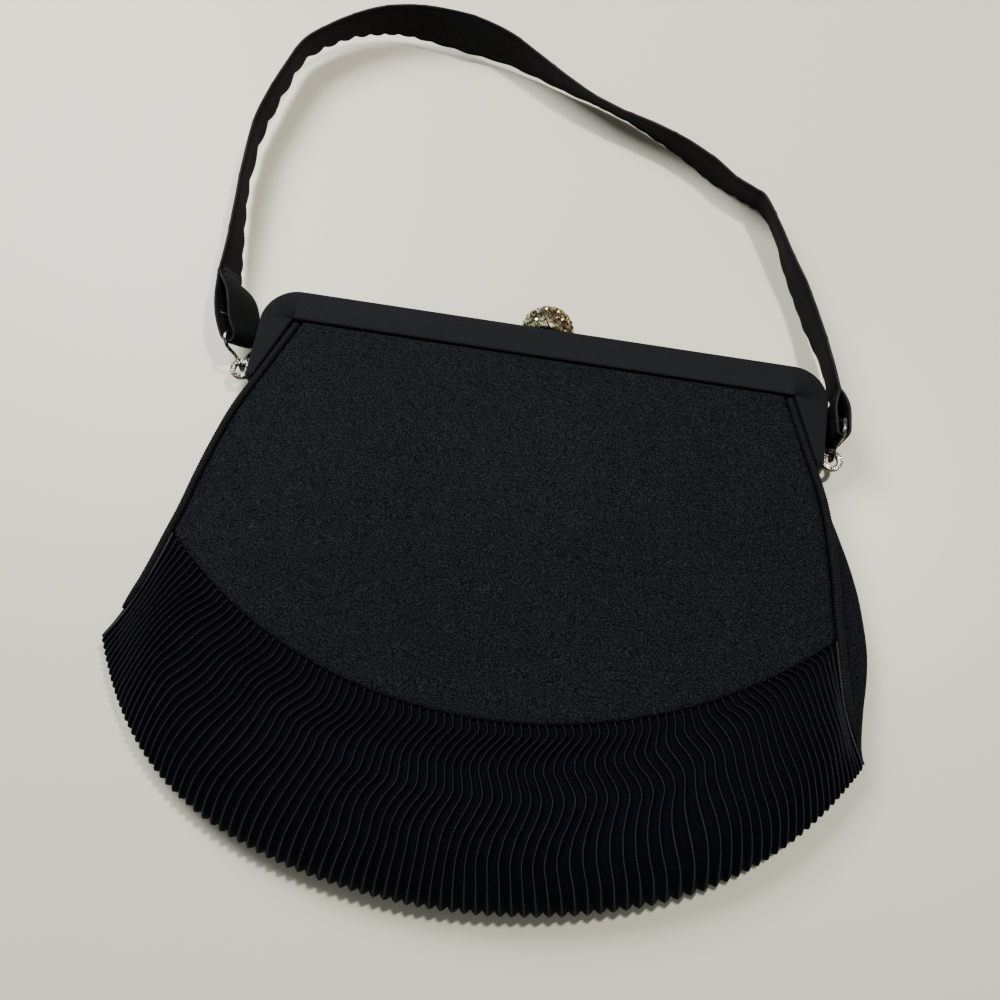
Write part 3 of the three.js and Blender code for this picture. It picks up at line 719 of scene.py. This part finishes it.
for name, side in SIDES.items():
    gusset_pattern = flat_pattern(12 * MM, 90 * MM)
    bm = mapped_grid(24, 60, gusset_place(side, GUSSET_OUT[name]), gusset_pattern)
    gusset = cloth_object(f"side_gusset_{name}", bm, crepe)
    thickened(gusset, GUSSET_WALL, -1)
    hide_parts(f"gusset_{name}")


# Piping down the four side seams: a cotton cord in a bias strip of ribbed cloth, whose ribs
# run straight across the cord, caught in the seam between panel and gusset.

PIPING_TOP = RAIL_BOTTOM - GAP - PIPING_RADIUS / 2
PIPING_END = YOKE_CORNER_Y + 0.7 * (CORNER_Y - YOKE_CORNER_Y)
PIPING_RIB = 0.9 * MM
PIPING_RIB_DEEP = 0.16 * MM
PIPING_RINGS = {"front": 700, "back": 175}

# The lower end thins to this share of its width over the last part of its run
PIPING_TAPER = 0.06
PIPING_TIP = 0.3


def piping_centre(side, height, v):
    y = PIPING_TOP + v * (PIPING_END - PIPING_TOP)
    return swung(side * side_x(y), y, height(y))


def piping_place(side, height):
    length = PIPING_TOP - PIPING_END

    def place(u, v):
        centre = piping_centre(side, height, v)
        step = 0.01  # share of the run between the points that give its direction
        before = piping_centre(side, height, max(v - step, 0))
        after = piping_centre(side, height, min(v + step, 1))
        tangent = (after - before).normalized()
        across = tangent.cross(Vector((0, 0, 1))).normalized()
        up = across.cross(tangent)
        rib = abs(math.sin(math.pi * v * length / PIPING_RIB))
        tuck = min(1, (1 - v) / PIPING_TAPER)
        width = PIPING_TIP + (1 - PIPING_TIP) * math.sqrt(tuck)
        radius = (PIPING_RADIUS - PIPING_RIB_DEEP * (1 - rib)) * width
        turn = 2 * math.pi * u
        return centre + radius * (math.cos(turn) * across + math.sin(turn) * up)

    return place


corded, corded_shader = principled("corded_cloth", (0.008, 0.008, 0.01), 0.75, 0.1)
add, join = node_helper(corded)
speckle(add, join, corded_shader, (0.001, 0.001, 0.0016), (0.0098, 0.0102, 0.0118), 1800)

for name, side in SIDES.items():
    for face, height in (("front", side_top), ("back", side_foot)):
        cord_pattern = flat_pattern(8 * MM, 100 * MM)
        bm = mapped_grid(12, PIPING_RINGS[face], piping_place(side, height), cord_pattern)
        closed_tube(bm)
        cord = cloth_object(f"piping_{face}_{name}_cord", bm, corded)
        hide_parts(f"piping_{face}_{name}")


# Strap: a flat tube of crepe over a stiffener, topstitched down both edges and rubbed grey
# there. It stands on edge and leans as it goes round, and each end is folded back into a
# loop round its link and tacked with a few stitches.

STRAP_WIDTH = 14.5 * MM
STRAP_THICK = 2 * MM
STRAP_RISE = 143.2 * MM
STRAP_LIFT = 3.5 * MM
EAR_Y = ARM_END + 4.6 * MM
STRAP_ROWS = 420
STRAP_CLOTH_HALF = 0.75 * MM

# Puckers in the lower edge: in and out of the width, out of the flat, and as a share of the
# most away from the place along the strap where they are deepest
PUCKERS = 44
PUCKER_WIDE = 0.35 * MM
PUCKER_OUT = 0.5 * MM
PUCKER_LEAST = 0.3
PUCKER_MOST_AT = 0.2
PUCKER_REACH = 0.15
PUCKER_STRAY = 1.6
CREASES = 23
CREASE_DEEP = 0.15 * MM
CREASE_HALF = 0.12
STITCH_DEEP = 0.22 * MM
STITCH_AT = 0.42
STITCH_HALF = 0.02

# Loops: share of the run that each strand takes, how soon the strands part, and how the bend
# is pinched, bulged out and turned about the strap
LOOP_STRAND = 0.4
LOOP_RADIUS = {"left": 3.6 * MM, "right": 2.7 * MM}
LOOP_WALL = 1.5 * MM
LOOP_MEET = 0.2 * MM
LOOP_START = 0.5 * MM
LOOP_INNER = {"left": 1.4, "right": 2.8}
LOOP_OUTER = 3.6
LOOP_PINCH = {"left": 0.35, "right": 0.12}
LOOP_PINCH_REACH = 0.13
LOOP_BULGE = {"left": 0.4, "right": 0.2}
LOOP_TURN = {"left": math.radians(22), "right": math.radians(-6)}
LOOP_TURN_CURVE = 0.5
INNER_TURN_CURVE = 1.8

# Across is a share of half the frame's width, up a share of the strap's rise above the ears,
# lean the tilt of its width from upright in degrees, lift a share of how far it stands off.
STRAP = [
    (-1.156, 0.21, 15, 0.75), (-1.168, 0.29, 6, 0.7), (-1.188, 0.401, -2, 0.75),
    (-1.202, 0.499, -6, 0.8), (-1.202, 0.617, -6, 0.9), (-1.18, 0.701, -8, 1),
    (-1.146, 0.79, -11, 1), (-1.106, 0.869, -15, 1), (-1.03, 0.921, -15, 1),
    (-0.944, 0.96, -12, 1), (-0.848, 0.987, -4, 1), (-0.751, 1, 3, 1),
    (-0.633, 1, 16, 0.95), (-0.483, 0.99, 25, 0.85), (-0.333, 0.966, 10, 0.7),
    (-0.204, 0.93, -4, 0.5), (-0.086, 0.893, -15, 0.35), (0.043, 0.857, -26, 0.25),
    (0.161, 0.826, -26, 0.2), (0.29, 0.79, -16, 0.15), (0.413, 0.75, -8, 0.1),
    (0.518, 0.706, -3, 0.1), (0.603, 0.67, -11, 0.1), (0.675, 0.646, -11, 0.1),
    (0.722, 0.627, -11, 0.1), (0.776, 0.568, -12, 0.1), (0.832, 0.48, -4, 0.1),
    (0.882, 0.41, 1, 0.15), (0.93, 0.334, 1, 0.3), (0.988, 0.24, -6, 0.65),
    (1.034, 0.14, -5, 0.8),
]

# The lowest point of each loop, as across and up in the table above
ENDS = {"left": (1.066, 0.074), "right": (1.048, 0.053)}


def strap_knot(row):
    across, up, lean, lift = row
    tilt = math.radians(lean)
    half = (STRAP_WIDTH * math.cos(tilt) + STRAP_THICK * math.sin(abs(tilt))) / 2
    return Vector((across * FRAME_HALF, EAR_Y + up * STRAP_RISE, half + lift * STRAP_LIFT))


STRAP_KNOTS = [strap_knot(row) for row in STRAP]


def strap_centre(t):
    """Middle of the strap, on a smooth curve through its knots."""
    last = len(STRAP_KNOTS) - 1
    place = min(max(t, 0), 1) * last
    i = min(int(place), last - 1)
    s = place - i
    here, there = STRAP_KNOTS[i], STRAP_KNOTS[i + 1]
    before = STRAP_KNOTS[i - 1] if i > 0 else 2 * here - there
    after = STRAP_KNOTS[i + 2] if i < last - 1 else 2 * there - here
    return 0.5 * (
        2 * here + (there - before) * s
        + (2 * before - 5 * here + 4 * there - after) * s**2
        + (3 * here - before - 3 * there + after) * s**3
    )


def strap_frame(t):
    """Middle of the strap, and the ways along its width, through its cloth and along it."""
    centre = strap_centre(t)
    tangent = (strap_centre(t + 0.004) - strap_centre(t - 0.004)).normalized()
    level = Vector((tangent.x, tangent.y, 0)).normalized()
    place = t * (len(STRAP) - 1)
    i = min(int(place), len(STRAP) - 2)
    tilt = math.radians(STRAP[i][2] + (STRAP[i + 1][2] - STRAP[i][2]) * (place - i))
    width = math.sin(tilt) * Vector((-level.y, level.x, 0)) + math.cos(tilt) * Vector((0, 0, 1))
    through = tangent.cross(width).normalized()
    return centre, width, through, tangent


def strap_section(u, half_width, half_thick):
    """A flat rounded section: places across the width and through the cloth."""
    turn = 2 * math.pi * u
    wide = math.copysign(abs(math.cos(turn)) ** 0.5, math.cos(turn)) * half_width
    thick = math.copysign(abs(math.sin(turn)) ** 0.5, math.sin(turn)) * half_thick
    return wide, thick


def strap_place(u, v):
    centre, width, through, _ = strap_frame(v)
    nearest = math.exp(-(((v - PUCKER_MOST_AT) / PUCKER_REACH) ** 2))
    gathered = PUCKER_LEAST + (1 - PUCKER_LEAST) * nearest
    phase = math.pi * PUCKERS * v + PUCKER_STRAY * math.sin(19 * v)
    pucker = gathered * (2 * abs(math.sin(phase)) - 1)
    wide, thick = strap_section(u, STRAP_WIDTH / 2, STRAP_CLOTH_HALF)
    by_foot = max(0, -2 * wide / STRAP_WIDTH) ** 3
    off_stitch = (abs(wide) / STRAP_WIDTH - STITCH_AT) / STITCH_HALF
    stitch = STITCH_DEEP * math.exp(-(off_stitch**2))
    thick -= math.copysign(stitch, thick)
    edge_sway = PUCKER_OUT * pucker * by_foot
    wide -= PUCKER_WIDE * pucker * by_foot
    off_crease = math.sin(math.pi * CREASES * v) / CREASE_HALF
    crease = CREASE_DEEP * math.exp(-(off_crease**2))
    return centre + wide * width + (thick + edge_sway - crease) * through


def loop_frame(name):
    """Tack and bottom of a loop, and the ways down it, along its width and through it."""
    side = SIDES[name]
    across, up = ENDS[name]
    centre, width, _, _ = strap_frame(0 if side < 0 else 1)
    bottom = Vector((side * across * FRAME_HALF, EAR_Y + up * STRAP_RISE, centre.z))
    down = (bottom - centre).normalized()
    upright = (width - width.dot(down) * down).normalized()
    return centre, bottom, down, upright, down.cross(upright)


def loop_ways(name, share):
    """Ways along the width and through the cloth, at a share of the way down a loop."""
    _, _, _, upright, through = loop_frame(name)
    turn = LOOP_TURN[name] * min(max(share, 0), 1) ** LOOP_TURN_CURVE
    return (
        math.cos(turn) * upright + math.sin(turn) * through,
        math.cos(turn) * through - math.sin(turn) * upright,
    )


def loop_place(name):
    tack, bottom, down, _, _ = loop_frame(name)
    length = (bottom - tack).length
    radius = LOOP_RADIUS[name] - LOOP_WALL / 2

    def strand(sign, s):
        bulge = 1 + LOOP_BULGE[name] * math.sin(math.pi * s**0.7) ** 2
        swell = 1 - (1 - s) ** (LOOP_INNER[name] if sign > 0 else LOOP_OUTER)
        out = sign * (LOOP_MEET * (1 - s) ** 2 + radius * swell * bulge)
        return Vector((out, -LOOP_START + s * (length + LOOP_START)))

    def middle(v):
        if v < LOOP_STRAND:
            return strand(1, v / LOOP_STRAND)
        if v > 1 - LOOP_STRAND:
            return strand(-1, (1 - v) / LOOP_STRAND)
        turn = (v - LOOP_STRAND) / (1 - 2 * LOOP_STRAND) * math.pi
        return Vector((radius * math.cos(turn), length + radius * math.sin(turn)))

    def place(u, v):
        here = middle(v)
        ahead = middle(min(v + 0.01, 1)) - middle(max(v - 0.01, 0))
        normal = Vector((ahead.y, -ahead.x)).normalized()
        pinch = 1 - LOOP_PINCH[name] * math.exp(-(((v - 0.5) / LOOP_PINCH_REACH) ** 2))
        wide, thick = strap_section(u, pinch * STRAP_WIDTH / 2, LOOP_WALL / 2)
        flat = here + thick * normal
        share = max(flat.y / length, 0)
        upright, through = loop_ways(name, share**INNER_TURN_CURVE if flat.x > 0 else share)
        return tack + flat.x * through + flat.y * down + wide * upright

    return place


strap_cloth, strap_shader = principled("strap_cloth", (0.01, 0.01, 0.012), 0.85, 0.09)
add, join = node_helper(strap_cloth)
strap_uv = add("ShaderNodeUVMap", uv_map="cloth")
strap_grain, strap_shade = speckle(
    add, join, strap_shader, (0.0008, 0.0010, 0.0013), (0.0100, 0.0107, 0.0122), 2000,
)
edge_split = add("ShaderNodeSeparateXYZ")
join(strap_uv.outputs["UV"], edge_split.inputs["Vector"])
edge_wear = shade_ramp(add, 0.975, (0, 0, 0), 1.0, (1, 1, 1))
join(edge_split.outputs["X"], edge_wear.inputs["Fac"])
edge_patch = fixed_noise(add, join, 300.0, 4.0)
patchy = add("ShaderNodeMath", operation="MULTIPLY")
join(edge_wear.outputs["Color"], patchy.inputs[0])
join(edge_patch.outputs["Fac"], patchy.inputs[1])
rubbed = add("ShaderNodeMix", data_type="RGBA")
rubbed.inputs["B"].default_value = (0.045, 0.044, 0.043, 1)
join(patchy.outputs["Value"], rubbed.inputs["Factor"])
join(strap_shade.outputs["Color"], rubbed.inputs["A"])
join(rubbed.outputs["Result"], strap_shader.inputs["Base Color"])
bumped(add, join, strap_grain, strap_shader, 0.5, 0.1 * MM)


def edge_pattern(u, v):
    """X is how near a point lies to either edge of the band, and Y runs along it."""
    return (abs(math.cos(2 * math.pi * u)) ** 0.5, v)


strap_bm = mapped_grid(32, STRAP_ROWS, strap_place, edge_pattern)
closed_tube(strap_bm)
strap = cloth_object("strap_band", strap_bm, strap_cloth)
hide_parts("strap")
for name in ENDS:
    loop_bm = mapped_grid(24, 60, loop_place(name), edge_pattern)
    closed_tube(loop_bm)
    loop = cloth_object(f"strap_loop_{name}", loop_bm, strap_cloth)
    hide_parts("strap")


# Tacking: a few turns of grey thread over each strap end where it is sewn down, and a pale
# line across the inside of the left loop: a painted highlight where light glints off a fold.

THREAD = 0.13 * MM
THREAD_BOW = 0.25 * MM
TACKS = {"left": 9, "right": 4}
TACKS_LONG = 4.2 * MM
TACK_STEP = 0.3 * MM
TACK_STRAY = 0.5 * MM
TACK_HEIGHT = STRAP_THICK / 2 + 0.35 * MM

# Shares of the strap's width at which a thread can start, below, and end, above
TACK_BELOW = (0.36, 0.47)
TACK_ABOVE = (0.3, 0.47)

# The painted glint line: its share of the way down the loop, how far out it lies, and its two ends
GLINT_LINE_AT = 0.62
GLINT_LINE_OUT = 1.9 * MM
GLINT_LINE_ENDS = (-0.1, 0.46)
GLINT_LINE_BOW = 0.2 * MM

tack_thread, tack_shader = principled("tack_thread", (0.06, 0.065, 0.07), 0.8, 0.1)
add, join = node_helper(tack_thread)
speckle(add, join, tack_shader, (0.012, 0.014, 0.017), (0.11, 0.12, 0.13), 2500)
# A painted highlight: pale grey for a thin line where light glints off a fold inside the left loop.
painted_glint, painted_glint_shader = principled("painted_glint_line", (0.3, 0.3, 0.3), 0.85, 0.1)
add, join = node_helper(painted_glint)
speckle(add, join, painted_glint_shader, (0.12, 0.12, 0.12), (0.42, 0.42, 0.42), 2500)


def thread_grid(start, end, bow):
    """One thread from start to end, bowed out a little between them."""
    along = (end - start).normalized()
    side = along.cross(bow.normalized())

    def place(u, v):
        turn = 2 * math.pi * u
        centre = start.lerp(end, v) + math.sin(math.pi * v) * bow
        return centre + THREAD * (math.cos(turn) * bow.normalized() + math.sin(turn) * side)

    return mapped_grid(6, 10, place, flat_pattern(1 * MM, 10 * MM))


rng = random.Random(3)
for name in SIDES:
    tack, _, down, upright, through = loop_frame(name)
    outward = through if through.z > 0 else -through
    out = TACK_HEIGHT * outward
    for number in range(TACKS[name]):
        if name == "left":
            slide = (number / TACKS[name] - 0.6) * TACKS_LONG
        else:
            slide = number * TACK_STEP
        start = tack - upright * STRAP_WIDTH * rng.uniform(*TACK_BELOW)
        end = tack + upright * STRAP_WIDTH * rng.uniform(*TACK_ABOVE)
        bm = thread_grid(
            start + out + (slide + rng.uniform(-TACK_STRAY, TACK_STRAY)) * down,
            end + out + (slide + rng.uniform(-TACK_STRAY, TACK_STRAY)) * down,
            THREAD_BOW * outward,
        )
        closed_tube(bm)
        stitch = cloth_object(f"tack_{name}_{number + 1}", bm, tack_thread)

# A thin pale tube across the inside of the left loop, a painted glint off a fold.
tack, bottom, _, _, _ = loop_frame("left")
upright, through = loop_ways("left", GLINT_LINE_AT)
middle = tack + GLINT_LINE_AT * (bottom - tack) + GLINT_LINE_OUT * through
bm = thread_grid(
    *(middle + share * STRAP_WIDTH * upright for share in GLINT_LINE_ENDS), -GLINT_LINE_BOW * through,
)
closed_tube(bm)
glint_line = cloth_object("loop_glint_line", bm, painted_glint)


# Ears and links: small engraved silver rings at the ends of the frame, each on a shank that
# goes into the covered arm, and bent wire links that join them to the strap's loops.

EAR_RADIUS = 3.6 * MM
EAR_HOLE = 1.9 * MM
EAR_THICK = 1.6 * MM
EAR_HOLE_BEVEL = 0.2 * MM
EAR_RIM_BEVEL = 0.3 * MM
EAR_STEPS = 72
EAR_CUT_EVERY = 3
EAR_CUT_DEEP = 0.18 * MM
SHANK_RADIUS = 0.72 * MM
SHANK_DEPTH = 2.8 * MM
LINK_LENGTH = 11 * MM
WIRE_RADIUS = 0.6 * MM
LINK_CLEAR = 0.6 * MM
MIDDLE_Z = HALF_THICK + GAP / 2
EAR_X = FRAME_HALF + GAP + EAR_RADIUS

silver, silver_shader = principled("tarnished_silver", (0.5, 0.49, 0.46), 0.3, Metallic=1.0)
add, join = node_helper(silver)
speckle(
    add, join, silver_shader, (0.05, 0.045, 0.035), (0.62, 0.60, 0.54), 900, 0.46, 0.66,
)


def ear_piece(name, side):
    """A ring spun from its section, with radial cuts round its face, and its shank."""
    bm = bmesh.new()
    face = EAR_THICK / 2
    section = [
        (EAR_HOLE, -face), (EAR_HOLE, face - EAR_HOLE_BEVEL), (EAR_HOLE + EAR_HOLE_BEVEL, face),
        (EAR_RADIUS - EAR_RIM_BEVEL, face), (EAR_RADIUS, face - EAR_RIM_BEVEL), (EAR_RADIUS, -face),
    ]
    ring = [bm.verts.new((x, 0, z)) for x, z in section]
    edges = [bm.edges.new((a, b)) for a, b in zip(ring, ring[1:] + ring[:1])]
    bmesh.ops.spin(
        bm, geom=ring + edges, axis=(0, 0, 1), cent=(0, 0, 0), dvec=(0, 0, 0),
        angle=2 * math.pi, steps=EAR_STEPS, use_merge=True, use_duplicate=False,
    )
    for vert in bm.verts:
        step = round(math.atan2(vert.co.y, vert.co.x) / (2 * math.pi) * EAR_STEPS)
        if vert.co.z > face - EAR_HOLE_BEVEL / 2 and step % EAR_CUT_EVERY == 0:
            vert.co.z -= EAR_CUT_DEEP
    bmesh.ops.recalc_face_normals(bm, faces=bm.faces)
    length = SHANK_DEPTH + GAP + (EAR_RADIUS - EAR_HOLE) / 2
    made = bmesh.ops.create_cone(
        bm, cap_ends=True, segments=16, radius1=SHANK_RADIUS, radius2=SHANK_RADIUS, depth=length,
    )
    bmesh.ops.rotate(bm, verts=made["verts"], matrix=Matrix.Rotation(math.pi / 2, 3, "Y"))
    inward = -side * (EAR_RADIUS + GAP + SHANK_DEPTH - length / 2)
    bmesh.ops.translate(bm, verts=made["verts"], vec=(inward, 0, 0))
    bmesh.ops.translate(bm, verts=bm.verts, vec=(side * EAR_X, EAR_Y, MIDDLE_Z))
    piece = cloth_object(f"ring_{name}", bm, silver, smooth=False)
    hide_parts(f"ear_{name}")


def link_piece(name, side):
    """Bent wire on a smooth closed route: narrow through the ring, wide round the loop."""
    tack, bottom, _, _, _ = loop_frame(name)
    upright, _ = loop_ways(name, 1)
    hole = Vector((side * EAR_X, EAR_Y, MIDDLE_Z))
    to_tack = (tack - bottom).normalized()
    offset = bottom - hole
    b = offset.dot(to_tack)
    room = b**2 - offset.length_squared + LINK_LENGTH**2
    slide = max(0, math.sqrt(max(0, room)) - b)
    bar = bottom + slide * to_tack
    away = (bar - hole).normalized()
    back = -(away - away.dot(upright) * upright)
    height = EAR_THICK / 2 + WIRE_RADIUS + GAP
    half = (1 - LOOP_PINCH[name]) * STRAP_WIDTH / 2 + LINK_CLEAR + WIRE_RADIUS

    def strand(sign):
        first = hole + WIRE_RADIUS * away
        first.z = hole.z + sign * height
        return [
            first,
            hole + EAR_RADIUS * away + sign * half / 3 * upright,
            bar + (slide + LOOP_RADIUS[name]) * back + sign * half * upright,
            bar + WIRE_RADIUS * back + sign * half * upright,
            bar + sign * (half - 2 * WIRE_RADIUS) * upright,
        ]

    points = [hole, *strand(1), bar, *reversed(strand(-1))]
    curve = bpy.data.curves.new(f"wire_{name}", "CURVE")
    curve.dimensions = "3D"
    curve.bevel_depth = WIRE_RADIUS
    curve.bevel_resolution = 4
    curve.resolution_u = 8
    curve.render_resolution_u = 8
    spline = curve.splines.new("BEZIER")
    spline.bezier_points.add(len(points) - 1)
    spline.use_cyclic_u = True
    for knot, point in zip(spline.bezier_points, points):
        knot.co = point
        knot.handle_left_type = knot.handle_right_type = "AUTO"
    curve.materials.append(silver)
    wire = bpy.data.objects.new(f"wire_link_{name}", curve)
    bpy.context.scene.collection.objects.link(wire)
    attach(wire, "root")
    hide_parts(f"link_{name}")


for name, side in SIDES.items():
    ear_piece(name, side)
    link_piece(name, side)


# Clasp: a silver dome in two lobes that snap past each other, set all over with cut stones.

CLASP_CENTRE = Vector((0.4 * MM, FRAME_TOP + GAP + 2 * MM, MIDDLE_Z + 0.35 * MM))
CLASP_HALVES = Vector((8.1, 7.6, 7)) * MM
SLIT_POINT = Vector((1.8 * MM, FRAME_TOP + GAP, MIDDLE_Z + 5 * MM))
SLIT_FACING = Vector((1, 0.55, 0.35)).normalized()
SLIT_HALF = 0.12 * MM
STONE = 1.75 * MM
STONE_ROWS = [7, 21, 35, 49, 63, 76, 89, 102]
STONE_PITCH = 1.04
STONE_TIP = 0.3

# Lower and upper part of a stone: bottom and top in mm, and radii there as shares of its width
STONE_PARTS = [(-0.5, 0.25, 0.42, 0.5), (0.25, 0.75, 0.5, 0.25)]
LOBE_TINT = {"left": (0.78, 0.76, 0.50), "right": (0.86, 0.66, 0.38)}
STONE_DARK = (0.05, 0.043, 0.014)


def stone_places():
    """Places of the stones on the dome, in rows round its top, with the way each faces."""
    for row, degrees in enumerate(STONE_ROWS):
        angle = math.radians(degrees)
        girth = math.pi * (CLASP_HALVES.x + CLASP_HALVES.z) * math.sin(angle)
        count = max(1, int(girth / (STONE * STONE_PITCH)))
        for i in range(count):
            turn = 2 * math.pi * (i + row / 2) / count
            unit = Vector((
                math.sin(angle) * math.sin(turn), math.cos(angle), math.sin(angle) * math.cos(turn),
            ))
            facing = Vector([a / b for a, b in zip(unit, CLASP_HALVES)]).normalized()
            at = CLASP_CENTRE + Vector([a * b for a, b in zip(unit, CLASP_HALVES)])
            yield at, facing


setting, setting_shader = principled("tarnished_setting", (0.09, 0.08, 0.05), 0.4, Metallic=1.0)
add, join = node_helper(setting)
speckle(add, join, setting_shader, (0.02, 0.018, 0.012), (0.32, 0.29, 0.2), 1500, 0.4, 0.65)


def clasp_lobe(name, side):
    bm = bmesh.new()
    bmesh.ops.create_uvsphere(bm, u_segments=48, v_segments=32, radius=1)
    bmesh.ops.scale(bm, verts=bm.verts, vec=CLASP_HALVES)
    bmesh.ops.translate(bm, verts=bm.verts, vec=CLASP_CENTRE)
    cuts = [
        (Vector((0, FRAME_TOP + GAP, 0)), Vector((0, -1, 0))),
        (SLIT_POINT + side * SLIT_HALF * SLIT_FACING, -side * SLIT_FACING),
    ]
    for point, normal in cuts:
        geometry = bm.verts[:] + bm.edges[:] + bm.faces[:]
        cut = bmesh.ops.bisect_plane(
            bm, geom=geometry, plane_co=point, plane_no=normal, clear_outer=True,
        )
        rim = [item for item in cut["geom_cut"] if isinstance(item, bmesh.types.BMEdge)]
        bmesh.ops.contextual_create(bm, geom=rim)
    dome = cloth_object(f"clasp_dome_{name}", bm, setting)
    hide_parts(f"clasp_{name}")

    rng = random.Random(7)
    stones = bmesh.new()
    facet_glint = stones.faces.layers.float.new("facet_glint")
    for at, facing in stone_places():
        clear = SLIT_HALF + STONE / 4
        if side * (at - SLIT_POINT).dot(SLIT_FACING) < clear or at.y < FRAME_TOP + clear:
            continue
        turn = facing.to_track_quat("Z", "Y").to_matrix().to_4x4()
        spin = Matrix.Rotation(rng.uniform(0, math.pi), 4, "Z")
        tip = Matrix.Rotation(rng.uniform(-STONE_TIP, STONE_TIP), 4, "X")
        seat = Matrix.Translation(at) @ turn @ spin @ tip
        for low, high, lower, upper in STONE_PARTS:
            bmesh.ops.create_cone(
                stones, cap_ends=True, segments=8, radius1=lower * STONE, radius2=upper * STONE,
                depth=(high - low) * MM,
                matrix=seat @ Matrix.Translation((0, 0, (low + high) / 2 * MM)),
            )
    # Each facet gets a random painted glint, from a dark reflection to a bright sparkle.
    for face in stones.faces:
        face[facet_glint] = rng.random() ** 1.5
    piece = cloth_object(f"clasp_stones_{name}", stones, cut_stone[name], smooth=False)


cut_stone = {}
for name, tint in LOBE_TINT.items():
    material, shader = principled(f"cut_stone_{name}", tint, 0.12, Metallic=0.7)
    add, join = node_helper(material)
    # Painted glints and dark reflections: each facet's colour runs from STONE_DARK to the lobe's
    # tint.
    facet_glint = add("ShaderNodeAttribute", attribute_name="facet_glint")
    painted_facet_glint = shade_ramp(add, 0.1, STONE_DARK, 0.9, tint)
    join(facet_glint.outputs["Fac"], painted_facet_glint.inputs["Fac"])
    join(painted_facet_glint.outputs["Color"], shader.inputs["Base Color"])
    cut_stone[name] = material
for name, side in SIDES.items():
    clasp_lobe(name, side)
